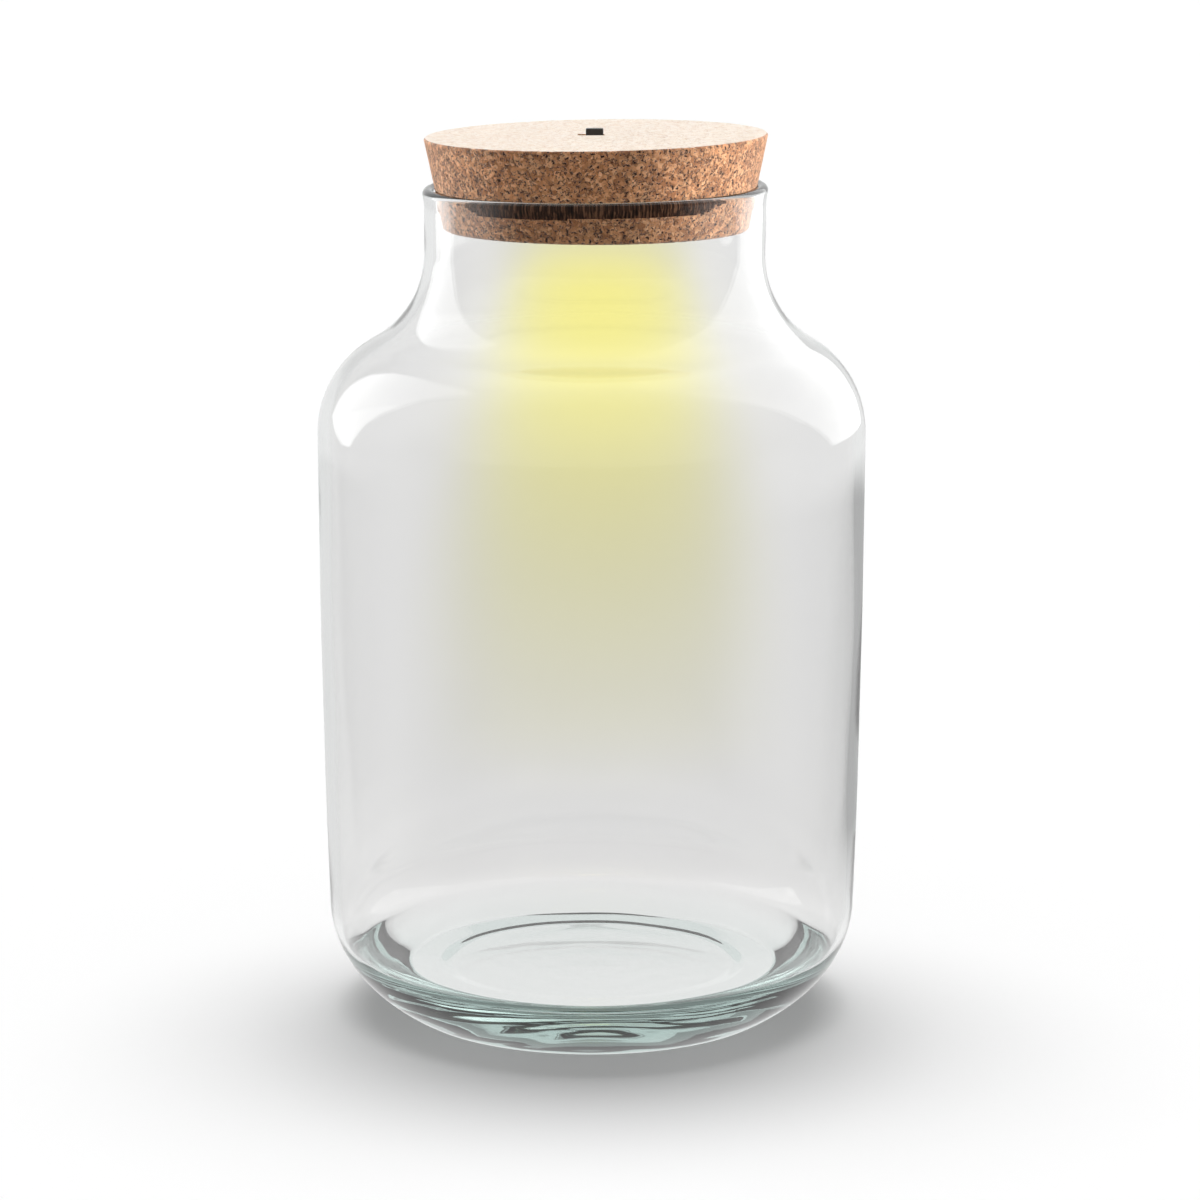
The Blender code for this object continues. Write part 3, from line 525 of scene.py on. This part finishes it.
def painted_shade_ring_finish():
    """Painted shade: a dark ring with upright streaks, where the lip meets the cork and little light
    reaches it.
    """
    material, tree, shader = new_material("cork_painted_shade_ring", roughness=0.9, Specular_IOR_Level=0.1)
    stretch = (1.0, 1.0, STREAK_STRETCH)
    upright = add(tree, "ShaderNodeMapping", {"Vector": object_place(tree), "Scale": stretch})
    streaks = grain(tree, upright.outputs["Vector"], STREAK_SCALE, detail=2.0)
    stops = [(0.34, (0.014, 0.006, 0.003)), (0.50, (0.050, 0.021, 0.011)), (0.66, (0.20, 0.095, 0.050))]
    tree.links.new(ramp(tree, streaks, stops), shader.inputs["Base Color"])
    bump(tree, shader, streaks, STREAK_BUMP, 0.5)
    return material


def cork_face():
    """The sanded top, smoother than the side, and paler than it: partly the sanded cork's own colour,
    partly painted light from above.
    """
    # These pale tints hold painted light from above as well as the sanded cork's colour
    tints = [
        (0.15, (0.86, 0.66, 0.48)),
        (0.38, (0.93, 0.79, 0.64)),
        (0.55, (0.96, 0.84, 0.71)),
        (0.72, (0.97, 0.87, 0.76)),
        (0.88, (0.98, 0.90, 0.81)),
    ]
    return cork("cork_face_sanded_and_painted_light", tints, (0.66, 0.43, 0.26), 0.66, (0.97, 1.0))


# Materials of the lamp


def moulded_plastic(name, colour, dark, roughness):
    """Moulded plastic with a fine eroded texture and a slightly uneven colour."""
    material, tree, shader = new_material(name, roughness=roughness)
    place = object_place(tree)
    cloud = grain(tree, place, CLOUD_SCALE)
    tree.links.new(mix_colour(tree, cloud, dark, colour), shader.inputs["Base Color"])
    fine = grain(tree, place, PLASTIC_GRAIN_SCALE, detail=2.0)
    smoother = roughness - PLASTIC_ROUGHNESS_SPAN
    rougher = roughness + PLASTIC_ROUGHNESS_SPAN
    rough = spread(tree, cloud, *CLOUD_RANGE, smoother, rougher)
    tree.links.new(rough, shader.inputs["Roughness"])
    bump(tree, shader, fine, 0.00002, 0.5)
    return material


def worn_metal(name, colour, dark, roughness):
    """Bright metal with drawn lines along X, and duller spots."""
    material, tree, shader = new_material(name, roughness=roughness, metallic=1.0)
    place = object_place(tree)
    stretch = (METAL_LINE_STRETCH, 1.0, 1.0)
    stretched = add(tree, "ShaderNodeMapping", {"Vector": place, "Scale": stretch})
    lines = grain(tree, stretched.outputs["Vector"], METAL_LINE_SCALE, detail=2.0)
    spots = grain(tree, place, METAL_SPOT_SCALE)
    tree.links.new(mix_colour(tree, spots, dark, colour), shader.inputs["Base Color"])
    rough = spread(tree, spots, *CLOUD_RANGE, roughness + METAL_DULLER, roughness - METAL_BRIGHTER)
    tree.links.new(rough, shader.inputs["Roughness"])
    bump(tree, shader, lines, 0.00001, 0.4)
    return material


def printed_board():
    """Green solder mask over a woven laminate, with copper tracks that show through it faintly."""
    material, tree, shader = new_material("printed_board", roughness=0.4)
    place = object_place(tree)
    threads = {"Vector": place, "Scale": THREAD_SCALE, "Distortion": 0.6}
    along = add(tree, "ShaderNodeTexWave", threads, bands_direction="X").outputs["Fac"]
    across = add(tree, "ShaderNodeTexWave", threads, bands_direction="Y").outputs["Fac"]
    weave = times(tree, along, across)
    bricks = {"Vector": place, "Scale": TRACK_SCALE, "Mortar Size": 0.05, "Color1": (1, 1, 1, 1)}
    tracks = add(tree, "ShaderNodeTexBrick", bricks).outputs["Fac"]
    green = mix_colour(tree, weave, *BOARD_GREENS)
    green = mix_colour(tree, tracks, green, TRACK_GREEN)
    tree.links.new(green, shader.inputs["Base Color"])
    bump(tree, shader, weave, 0.00003, 0.4)
    return material


def lit_plastic(name, colour, hot, strength, scale):
    """Plastic that the light-emitting diodes shine through, brighter in the middle of its speckle."""
    material, tree, shader = new_material(
        name, roughness=0.5, Emission_Strength=strength, Subsurface_Weight=0.1
    )
    place = object_place(tree)
    speckle = grain(tree, place, scale)
    tree.links.new(mix_colour(tree, speckle, colour, hot), shader.inputs["Base Color"])
    tree.links.new(mix_colour(tree, speckle, hot, colour), shader.inputs["Emission Color"])
    bump(tree, shader, grain(tree, place, LIT_GRAIN_SCALE), 0.00003, 0.6)
    return material


def dress_nodes():
    """Gives every solid that stays the finish of its record's material slot."""
    finishes = {"board_laminate": printed_board()}
    for name, look in MOULDED_LOOKS.items():
        finishes[name] = moulded_plastic(name, *look)
    for name, look in METAL_LOOKS.items():
        finishes[name] = worn_metal(name, *look)
    for name, look in LIT_LOOKS.items():
        finishes[name] = lit_plastic(name, *look)
    for part in frame["record"]["subparts"]:
        item = frame["nodes"][part["node"]]
        finish = finishes.get(part["material_slot"])
        if finish is not None:
            item.data.materials.clear()
            item.data.materials.append(finish)


# Mesh helpers


def link(name, data):
    item = bpy.data.objects.new(name, data)
    bpy.context.scene.collection.objects.link(item)
    return item


def link_mesh(name, mesh, materials):
    for material in materials:
        mesh.materials.append(material)
    return link(name, mesh)


def arc(centre, radii, start, stop, steps):
    """Outline points on an elliptical arc, from one angle to another, both ends included."""
    angles = [start + (stop - start) * step / steps for step in range(steps + 1)]
    return [
        (centre[0] + radii[0] * math.cos(angle), centre[1] + radii[1] * math.sin(angle))
        for angle in angles
    ]


def ease(value, low, high):
    """From nought at the low value to one at the high value, level at both ends."""
    share = min(max((value - low) / (high - low), 0.0), 1.0)
    return share * share * (3 - 2 * share)


def round_point(radius, angle, level):
    return Vector((radius * math.cos(angle), radius * math.sin(angle), level))


def ring_angles(steps):
    return [math.tau * step / steps for step in range(steps)]


def ring_mesh(name, rings, closed):
    """A mesh of quads between rings of equally many points. A ring of one point is a pole."""
    bm = bmesh.new()
    loops = [[bm.verts.new(point) for point in ring] for ring in rings]
    pairs = list(zip(loops, loops[1:]))
    if closed:
        pairs.append((loops[-1], loops[0]))
    for first, second in pairs:
        count = max(len(first), len(second))
        for step in range(count):
            after = (step + 1) % count
            corners = [
                first[step % len(first)],
                first[after % len(first)],
                second[after % len(second)],
                second[step % len(second)],
            ]
            bm.faces.new(list(dict.fromkeys(corners)))
    bmesh.ops.recalc_face_normals(bm, faces=bm.faces)
    mesh = bpy.data.meshes.new(name)
    bm.to_mesh(mesh)
    bm.free()
    mesh.shade_smooth()
    return mesh


# Glass jar


def wall_outline(inset):
    """The wall between the heel and the shoulder, which widens upwards."""
    points = []
    for step in range(1, WALL_STEPS):
        share = step / WALL_STEPS
        radius = body_radius - inset - WALL_DRAFT * (1 - share) ** 2
        points.append((radius, HEEL_HEIGHT + WALL_HEIGHT * share))
    return points


def shoulder_outline(inset):
    """The shoulder's convex arc and the neck's concave one, which meet at a common tangent."""
    neck_radius = cork_wedge_radius() + GLASS_WALL
    shoulder_height = HEEL_HEIGHT + WALL_HEIGHT
    shoulder_centre = body_radius - SHOULDER_RADIUS
    fillet_centre = neck_radius + NECK_FILLET_RADIUS
    neck_height = jar_height - NECK_LENGTH
    meeting = math.atan2(neck_height - shoulder_height, fillet_centre - shoulder_centre)
    outer = SHOULDER_RADIUS - inset
    inner = NECK_FILLET_RADIUS + inset
    shoulder = arc((shoulder_centre, shoulder_height), (outer, outer), 0.0, meeting, SHOULDER_STEPS)
    neck = arc((fillet_centre, neck_height), (inner, inner), math.pi + meeting, math.pi, SHOULDER_STEPS)
    return shoulder + neck[1:]


def cork_wedge_radius():
    """The neck's bore, from the lip that the solid has."""
    lip_outside = max(
        math.hypot(vertex.co.x, vertex.co.y)
        for vertex in frame["nodes"]["glass_jar"].data.vertices
        if vertex.co.z > jar_height - NECK_LENGTH / 2
    )
    return lip_outside - GLASS_WALL - LIP_PROUD


def outer_outline():
    """The glass's outside, from the axis under the base up to the lip and over it."""
    heel_radius = body_radius - WALL_DRAFT
    punt_radius = FOOT_RADIUS - FOOT_RING_WIDTH
    outline = []
    for step in range(PUNT_STEPS + 1):
        share = step / PUNT_STEPS
        outline.append((punt_radius * share, PUNT_DEPTH * (1 - ease(share, PUNT_LEVEL_SHARE, 1.0))))
    outline.append((FOOT_RADIUS - FOOT_EDGE, 0.0))
    drop = HEEL_HEIGHT + HEEL_OVERRUN
    foot_angle = math.asin(HEEL_HEIGHT / drop)
    reach = (heel_radius - FOOT_RADIUS) / (1 - math.cos(foot_angle))
    outline += arc((heel_radius - reach, HEEL_HEIGHT), (reach, drop), -foot_angle, 0.0, HEEL_STEPS)
    outline += wall_outline(0.0) + shoulder_outline(0.0)
    neck_radius = cork_wedge_radius() + GLASS_WALL
    outline += [(neck_radius, jar_height - NECK_LENGTH * share) for share in NECK_SHARES]
    outline.append((neck_radius, jar_height - LIP_HEIGHT))
    lip_radius = (GLASS_WALL + LIP_PROUD) / 2
    lip_centre = (cork_wedge_radius() + lip_radius, jar_height - lip_radius)
    return outline + arc(lip_centre, (lip_radius, lip_radius), 0.0, math.pi, LIP_STEPS)


def inner_outline():
    """The glass's inside, from the neck down to the axis on the floor."""
    bore = cork_wedge_radius()
    outline = [(bore, jar_height - NECK_LENGTH * share) for share in reversed(NECK_SHARES)]
    outline += (wall_outline(GLASS_WALL) + shoulder_outline(GLASS_WALL))[::-1]
    floor_radius = body_radius - WALL_DRAFT - GLASS_WALL - INNER_HEEL_WIDTH
    heel_radii = (INNER_HEEL_WIDTH, HEEL_HEIGHT - BASE_THICKNESS)
    outline += arc((floor_radius, HEEL_HEIGHT), heel_radii, 0.0, -math.pi / 2, INNER_HEEL_STEPS)
    for step in range(1, FLOOR_STEPS + 1):
        share = 1 - step / FLOOR_STEPS
        outline.append((floor_radius * share, BASE_THICKNESS - FLOOR_DISH * (1 - share**2)))
    return outline


def lean(x, y, z):
    """The neck stands a little to the right, and the lip rises to the right."""
    lean_share = ease(z, LEAN_FROM, STRAY_TO)
    tilt_share = ease(z, TILT_FROM, STRAY_TO)
    return (x + NECK_LEAN * lean_share, y, z + x * math.tan(LIP_TILT) * tilt_share)


def jar_ring(radius, height, ripple, floor_ripple):
    """One ring of the glass, rippled along its radius, or along Z where the floor lies flat."""
    if radius < AXIS_RADIUS:
        return [lean(0.0, 0.0, height)]
    points = []
    for angle in ring_angles(JAR_STEPS):
        x, y = radius * math.cos(angle), radius * math.sin(angle)
        slow = noise.noise(Vector((x, y, height)) * SLOW_SCALE)
        low = noise.noise(Vector((x, y, height * 0.6)) * LOW_SCALE)
        slow += ease(-height, -LOW_FROM, -LOW_TO) * LOW_SHARE * low
        quick = noise.noise(Vector((x, y, height * 0.4)) * QUICK_SCALE)
        stray = -ripple * (1 + slow * SLOW_SHARE + quick * QUICK_SHARE)
        shrink = (radius + stray) / radius
        lift = floor_ripple * (slow * 0.6 + 0.5 * math.sin(radius * FLOOR_SCALE + slow * 3.0))
        points.append(lean(x * shrink, y * shrink, height + lift))
    return points


def build_glass():
    neck_height = jar_height - NECK_LENGTH
    rings = []
    for radius, height in outer_outline():
        still = height > neck_height or height < FOOT_STILL_HEIGHT
        rings.append(jar_ring(radius, height, 0.0 if still else RIPPLE_OUTSIDE, 0.0))
    for radius, height in inner_outline():
        floor = RIPPLE_FLOOR * (1 - ease(height, BASE_THICKNESS, BASE_THICKNESS + RIPPLE_FADE))
        floor *= ease(radius, 0.0, RIPPLE_CENTRE)
        rings.append(jar_ring(radius, height, 0.0 if height > neck_height else RIPPLE_INSIDE, floor))
    mesh = ring_mesh("blown_glass_jar", rings, closed=False)
    jar = link_mesh("blown_glass_jar", mesh, [blown_glass()])
    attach(jar, "jar")
    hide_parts("glass_jar")


# Cork stopper


def slot_point(angle, ragged):
    """A point on the slot's outline, in a direction from its middle."""
    direction = Vector((math.cos(angle), math.sin(angle)))
    half = Vector((SLOT_LENGTH / 2, SLOT_WIDTH / 2))
    across = max(abs(direction.x) / half.x, abs(direction.y) / half.y)
    point = direction / across
    torn = ragged * (0.5 + 0.5 * noise.noise(Vector((point.x, point.y, 0.0)) * SLOT_TEAR_SCALE))
    left = ease(-point.x, -SLOT_TORN_FROM, -SLOT_TORN_TO)
    return point * (1 + torn * left / point.length)


def crumble(point, normal, depth):
    """Moves a point in by the cork's pits and flakes."""
    fine = noise.noise(point * FINE_SCALE)
    pit = ease(-noise.noise(point * COARSE_SCALE), PIT_FROM, PIT_TO)
    share = EVEN_DEPTH_SHARE + FINE_DEPTH_SHARE * fine + PIT_DEPTH_SHARE * pit
    return point - normal * depth * share


def face_point(angle, share, radius):
    """A point on the top, at a share of the way from the slot's edge to the rim."""
    hole = slot_point(angle, SLOT_TEAR if share < 0.001 else 0.0)
    x = hole.x * (1 - share) + radius * math.cos(angle) * share
    y = hole.y * (1 - share) + radius * math.sin(angle) * share
    upwards = Vector((0.0, 0.0, 1.0))
    spot = crumble(Vector((x, y, cork_top)), upwards, FACE_PITS * ease(share, 0.0, 0.05))
    tilt = spot.x * math.tan(CORK_TILT) * ease(share, 0.0, 0.3)
    return (spot.x + CORK_LEAN * share, spot.y, spot.z + tilt)


def side_point(angle, rise, radius):
    """A point on the tapered side, at a height above the underside."""
    slope = Vector((1.0, -CORK_TAPER_SHARE)).normalized()
    normal = Vector((math.cos(angle) * slope.x, math.sin(angle) * slope.x, slope.y))
    spot = crumble(round_point(radius, angle, cork_bottom + rise), normal, SIDE_PITS)
    tilt = spot.x * math.tan(CORK_TILT) * (rise / (cork_top - cork_bottom))
    return (spot.x + CORK_LEAN, spot.y, spot.z + tilt)


def under_point(angle, share, radius):
    """A point on the underside, at a share of the way from its rim to the lamp's flange."""
    spot = crumble(round_point(radius, angle, cork_bottom), Vector((0.0, 0.0, -1.0)), UNDER_PITS)
    return (spot.x + CORK_LEAN * (1 - share), spot.y, spot.z)


def cork_rings():
    """Rings from the slot's edge over the top, down the side, along the underside and up the recess."""
    angles = ring_angles(CORK_STEPS)
    height = cork_top - cork_bottom
    bottom_radius = cork_wedge_radius() - FIT_GAP - CORK_INSERT_DEPTH * CORK_TAPER_SHARE
    top_radius = bottom_radius + height * CORK_TAPER_SHARE - CORK_EDGE
    recess_radius = flange_radius + FIT_GAP
    housing_radius = flange_radius - FLANGE_WIDTH + FIT_GAP
    seat = cork_bottom + FLANGE_SEAT
    ceiling = housing_high.z + FIT_GAP
    rings = []
    for index in range(FACE_STEPS + 1):
        share = (index / FACE_STEPS) ** FACE_POWER
        rings.append([face_point(angle, share, top_radius) for angle in angles])
    for index in range(SIDE_STEPS + 1):
        rise = height - CORK_EDGE - (height - 2 * CORK_EDGE) * index / SIDE_STEPS
        radius = bottom_radius + rise * CORK_TAPER_SHARE
        rings.append([side_point(angle, rise, radius) for angle in angles])
    for index in range(UNDER_STEPS + 1):
        share = index / UNDER_STEPS
        radius = (bottom_radius - CORK_EDGE) * (1 - share) + recess_radius * share
        rings.append([under_point(angle, share, radius) for angle in angles])
    for radius, level in ((recess_radius, seat), (housing_radius, seat), (housing_radius, ceiling)):
        rings.append([round_point(radius, angle, level) for angle in angles])
    for level in (ceiling, (ceiling + cork_top) / 2, cork_top - SLOT_EDGE):
        rings.append([(*slot_point(angle, SLOT_INNER_TEAR), level) for angle in angles])
    return rings


def on_painted_shade_ring(middle):
    """Whether a face of the side lies on the dark ring of painted shade under the lip, which is narrow at
    the sides and behind.
    """
    share = (jar_height + middle.x * math.tan(LIP_TILT) - RING_DROP - middle.z) / RING_WIDTH
    torn = RING_TEAR * noise.noise(middle * RING_TEAR_SCALE)
    shaded = 1 - ease(abs(middle.x) + torn, RING_FULL_REACH, RING_END_REACH)
    shaded *= 1 - ease(middle.y, -RING_FADE_DEPTH, 0.0)
    return 0.0 < share < RING_LEAST_SHARE + (1 - RING_LEAST_SHARE) * shaded


def build_cork():
    mesh = ring_mesh("pressed_cork_stopper", cork_rings(), closed=True)
    finishes = [cork_side(), cork_face(), painted_shade_ring_finish()]
    stopper = link_mesh("pressed_cork_stopper", mesh, finishes)
    for polygon in mesh.polygons:
        if polygon.index < FACE_STEPS * CORK_STEPS:
            polygon.material_index = 1
        # Faces under the lip take the ring of painted shade
        elif on_painted_shade_ring(polygon.center):
            polygon.material_index = 2
    mesh.set_sharp_from_angle(angle=SHARP_ANGLE)
    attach(stopper, "lid")
    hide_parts("cork_stopper")


# The lamp's light in the jar's air


def beam_air():
    """Air that the lamp lights: yellow, strongest below the window, and gone near the jar's floor."""
    material, tree = bare_material("lit_air")
    place = object_place(tree)
    x = axis_place(tree, "X", place)
    y = axis_place(tree, "Y", place)
    across = calculate(tree, "SQRT", calculate(tree, "ADD", times(tree, x, x), times(tree, y, y)))
    depth = times(tree, axis_place(tree, "Z", place), -1.0 / LAMP_REACH)
    radii = (BEAM_START_RADIUS, BEAM_END_RADIUS)
    radius = spread(tree, depth, *BEAM_WIDENING_RANGE, *radii, smooth=True)
    share = calculate(tree, "DIVIDE", across, radius)
    narrow = spread(tree, share, *NARROW_SPREAD, smooth=True)
    density = times(tree, narrow, ramp(tree, depth, BEAM_FALL_SHARES))
    wide = spread(tree, share, *WIDE_SPREAD, smooth=True)
    warmth = times(tree, wide, ramp(tree, depth, BEAM_WARMTH_SHARES))
    haze = {"Color": (*BEAM_HAZE, 1.0), "Density": times(tree, density, BEAM_ABSORPTION)}
    air = add(tree, "ShaderNodeVolumeAbsorption", haze).outputs["Volume"]
    shine = {"Color": (*BEAM_SHINE, 1.0), "Strength": times(tree, warmth, BEAM_GLOW)}
    glow = add(tree, "ShaderNodeEmission", shine).outputs["Emission"]
    both = add(tree, "ShaderNodeAddShader", {0: air, 1: glow}).outputs["Shader"]
    add(tree, "ShaderNodeOutputMaterial", {"Volume": both})
    return material


def build_beam():
    """The lit air under the window. It is light, not a piece, and it follows the lid."""
    rings = []
    for radius, level in BEAM_OUTLINE:
        angles = ring_angles(BEAM_STEPS) if radius > 0.0 else [0.0]
        rings.append([round_point(radius, angle, level) for angle in angles])
    beam = link_mesh("lamp_light", ring_mesh("lamp_light", rings, closed=False), [beam_air()])
    beam.location = (BEAM_OFFSET, 0.0, cork_bottom)
    beam.visible_shadow = False
    beam.visible_diffuse = False
    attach(beam, "lid")


# Studio


def through_glass(tree):
    """One where a ray comes from a reflection or from glass."""
    return larger(tree, ray(tree, "Is Glossy Ray"), ray(tree, "Is Transmission Ray"))


def before_matt(tree):
    """One where a ray has met no matt surface yet."""
    return calculate(tree, "LESS_THAN", ray(tree, "Diffuse Depth"), 0.5)


def plain_seen(tree):
    """One where a ray comes from the camera, a reflection or glass, before any matt surface."""
    return times(tree, larger(tree, ray(tree, "Is Camera Ray"), through_glass(tree)), before_matt(tree))


def mirrored_times(tree, count):
    """One where a ray has been mirrored at least that many times."""
    return calculate(tree, "GREATER_THAN", ray(tree, "Glossy Depth"), count - 0.5)


def heel_share(tree, third, later):
    """The share of light left in rays that the thick heel has mirrored three times, and more often."""
    share = spread(tree, mirrored_times(tree, 3), 0.0, 1.0, 1.0, third)
    return spread(tree, mirrored_times(tree, 4), 0.0, 1.0, share, later)


def dark_front(tree, direction):
    """The share of light left in reflections, because the studio is dark on the camera's side.

    Rays that have passed through glass lose less of it.
    """
    loss = spread(tree, axis_place(tree, "Y", direction), *FRONT_LOSS_SPREAD, smooth=True)
    inner = calculate(tree, "GREATER_THAN", ray(tree, "Transmission Depth"), 0.5)
    loss = times(tree, loss, spread(tree, inner, 0.0, 1.0, 1.0, FRONT_LOSS_INSIDE))
    return calculate(tree, "SUBTRACT", 1.0, times(tree, mirrored_times(tree, 1), loss))


def mirrored_floor(tree):
    """The floor's painted level of light and shade in reflections and through glass.

    Straight through glass it is even, and a little brighter under the jar. Once mirrored, it is bright
    under the jar, in a narrow strip behind it and far to the left, dimmer at the right, and dark in front.
    """
    place = object_place(tree)
    distance = add(tree, "ShaderNodeVectorMath", {0: place}, operation="LENGTH").outputs["Value"]
    side = calculate(tree, "DIVIDE", axis_place(tree, "X", place), distance)
    depth = calculate(tree, "DIVIDE", axis_place(tree, "Y", place), distance)
    behind = spread(tree, depth, *FLOOR_BEHIND_SPREAD, smooth=True)
    beside = spread(tree, side, *FLOOR_BESIDE_SPREAD, smooth=True)
    beside = larger(tree, beside, spread(tree, distance, *FLOOR_FAR_SPREAD, smooth=True))
    level = larger(tree, behind, beside)
    level = times(tree, level, spread(tree, depth, *FLOOR_FRONT_SPREAD, smooth=True))
    level = larger(tree, level, spread(tree, distance, *FLOOR_UNDER_SPREAD))
    mirrored = mirrored_times(tree, 1)
    loss = times(tree, mirrored, calculate(tree, "SUBTRACT", 1.0, level))
    far = spread(tree, mirrored, 0.0, 1.0, SEEN_LEVEL, MIRRORED_LEVEL)
    near = spread(tree, distance, *FLOOR_NEAR_RANGE, FLOOR_NEAR_LEVEL, far, smooth=True)
    level = times(tree, near, calculate(tree, "SUBTRACT", 1.0, loss))
    return times(tree, level, heel_share(tree, *FLOOR_HEEL_SHARES))


def build_world():
    """White where it is seen, and dim as a light."""
    world = bpy.data.worlds.new("studio")
    bpy.context.scene.world = world
    world.use_nodes = True
    tree = world.node_tree
    direction = add(tree, "ShaderNodeTexCoord").outputs["Generated"]
    height = axis_place(tree, "Z", direction)
    level = spread(tree, plain_seen(tree), 0.0, 1.0, AMBIENT, 1.0)
    level = times(tree, level, dark_front(tree, direction))
    level = times(tree, level, spread(tree, through_glass(tree), 0.0, 1.0, 1.0, SEEN_LEVEL))
    third = spread(tree, height, *WORLD_THIRD_SPREAD)
    level = times(tree, level, heel_share(tree, third, WORLD_LATER_SHARE))
    background = tree.nodes["Background"]
    background.inputs["Color"].default_value = (1.0, 1.0, 1.0, 1.0)
    tree.links.new(level, background.inputs["Strength"])


def matt_paper(tree, grey):
    return add(tree, "ShaderNodeBsdfDiffuse", {"Color": (grey, grey, grey, 1.0)}).outputs["BSDF"]


def floor_paper():
    """White paper, with its own painted level of light and shade where reflections and glass show it, and
    clear from below.
    """
    material, tree = bare_material("floor_paper")
    matt = matt_paper(tree, PAPER_GREY)
    lift = add(tree, "ShaderNodeEmission", {"Strength": PAPER_LIFT}).outputs["Emission"]
    lit = add(tree, "ShaderNodeAddShader", {0: matt, 1: lift}).outputs["Shader"]
    white = add(tree, "ShaderNodeEmission", {"Strength": mirrored_floor(tree)}).outputs["Emission"]
    seen = choose(tree, times(tree, through_glass(tree), before_matt(tree)), lit, white)
    dim = matt_paper(tree, PAPER_DIM_GREY)
    paper = choose(tree, calculate(tree, "SUBTRACT", 1.0, plain_seen(tree)), seen, dim)
    below = add(tree, "ShaderNodeNewGeometry").outputs["Backfacing"]
    clear = add(tree, "ShaderNodeBsdfTransparent").outputs["BSDF"]
    add(tree, "ShaderNodeOutputMaterial", {"Surface": choose(tree, below, paper, clear)})
    return material


def build_floor():
    mesh = bpy.data.meshes.new("floor")
    corners = [(x * FLOOR_HALF, y * FLOOR_HALF, 0.0) for x, y in ((-1, -1), (1, -1), (1, 1), (-1, 1))]
    mesh.from_pydata(corners, [], [(0, 1, 2, 3)])
    floor = link_mesh("floor", mesh, [floor_paper()])
    floor.location.z = -FLOOR_DROP
    return floor


def card_material(name, strength):
    """A white card's light, which only reflections show, and which is weaker at the card's top."""
    material, tree = bare_material(name)
    height = axis_place(tree, "Z", object_place(tree))
    level = spread(tree, height, *CARD_FADE_RANGE, strength, strength * CARD_TOP_SHARE)
    light = add(tree, "ShaderNodeEmission", {"Strength": level}).outputs["Emission"]
    clear = add(tree, "ShaderNodeBsdfTransparent").outputs["BSDF"]
    mirrored = times(tree, mirrored_times(tree, 1), heel_share(tree, *CARD_HEEL_SHARES))
    add(tree, "ShaderNodeOutputMaterial", {"Surface": choose(tree, mirrored, clear, light)})
    return material


def build_card(name, rows, strength):
    """A curved card, part of a sphere round the jar's middle."""
    corners = []
    for elevation, first, last in rows:
        rise = CARD_DISTANCE * math.sin(math.radians(elevation))
        reach = CARD_DISTANCE * math.cos(math.radians(elevation))
        for step in range(CARD_STEPS + 1):
            azimuth = math.radians(first + (last - first) * step / CARD_STEPS)
            corners.append(round_point(reach, azimuth, CARD_MIDDLE + rise))
    faces = []
    for row in range(len(rows) - 1):
        start = row * (CARD_STEPS + 1)
        for corner in range(start, start + CARD_STEPS):
            above = corner + CARD_STEPS + 1
            faces.append((corner, corner + 1, above + 1, above))
    mesh = bpy.data.meshes.new(name)
    mesh.from_pydata(corners, [], faces)
    card = link_mesh(name, mesh, [card_material(name, strength)])
    card.visible_camera = False
    card.visible_diffuse = False
    card.visible_shadow = False


def build_sun(name, azimuth, elevation, angle, energy):
    """A soft sun, from angles in degrees. Reflections and glass don't show it."""
    light = bpy.data.lights.new(name, "SUN")
    light.energy = energy
    light.angle = math.radians(angle)
    sun = link(name, light)
    rise = math.radians(elevation)
    towards = round_point(math.cos(rise), math.radians(azimuth), math.sin(rise))
    sun.rotation_euler = (-towards).to_track_quat("-Z", "Y").to_euler()
    sun.visible_glossy = False
    sun.visible_transmission = False
    return sun


def spare_floor(sun, floor):
    """Keeps a sun's light off the floor."""
    spared = bpy.data.collections.new(sun.name + "_receivers")
    spared.objects.link(floor)
    sun.light_linking.receiver_collection = spared
    spared.collection_objects[0].light_linking.link_state = "EXCLUDE"


def build_camera():
    data = bpy.data.cameras.new("camera")
    data.sensor_width = SENSOR_WIDTH
    data.lens = CAMERA_LENS
    camera = link("camera", data)
    camera.location = (CAMERA_SIDE, -CAMERA_DISTANCE, CAMERA_HEIGHT)
    camera.rotation_euler = (math.pi / 2 - CAMERA_PITCH, 0.0, 0.0)
    bpy.context.scene.camera = camera


def set_light_paths():
    """Enough bounces for the thick base, and no caustics."""
    bpy.context.scene.view_settings.view_transform = "Standard"
    cycles = bpy.context.scene.cycles
    cycles.caustics_reflective = False
    cycles.caustics_refractive = False
    cycles.max_bounces = MAX_BOUNCES
    cycles.glossy_bounces = GLOSSY_BOUNCES
    cycles.transmission_bounces = TRANSMISSION_BOUNCES


def build_studio():
    build_camera()
    build_world()
    floor = build_floor()
    for values in OVERHEAD_SUNS:
        build_sun(*values)
    for values in LOW_SUNS:
        spare_floor(build_sun(*values), floor)
    build_card("left_card", LEFT_CARD, LEFT_CARD_LEVEL)
    build_card("right_card", RIGHT_CARD, RIGHT_CARD_LEVEL)


set_light_paths()
build_studio()
dress_nodes()
build_glass()
build_cork()
build_beam()
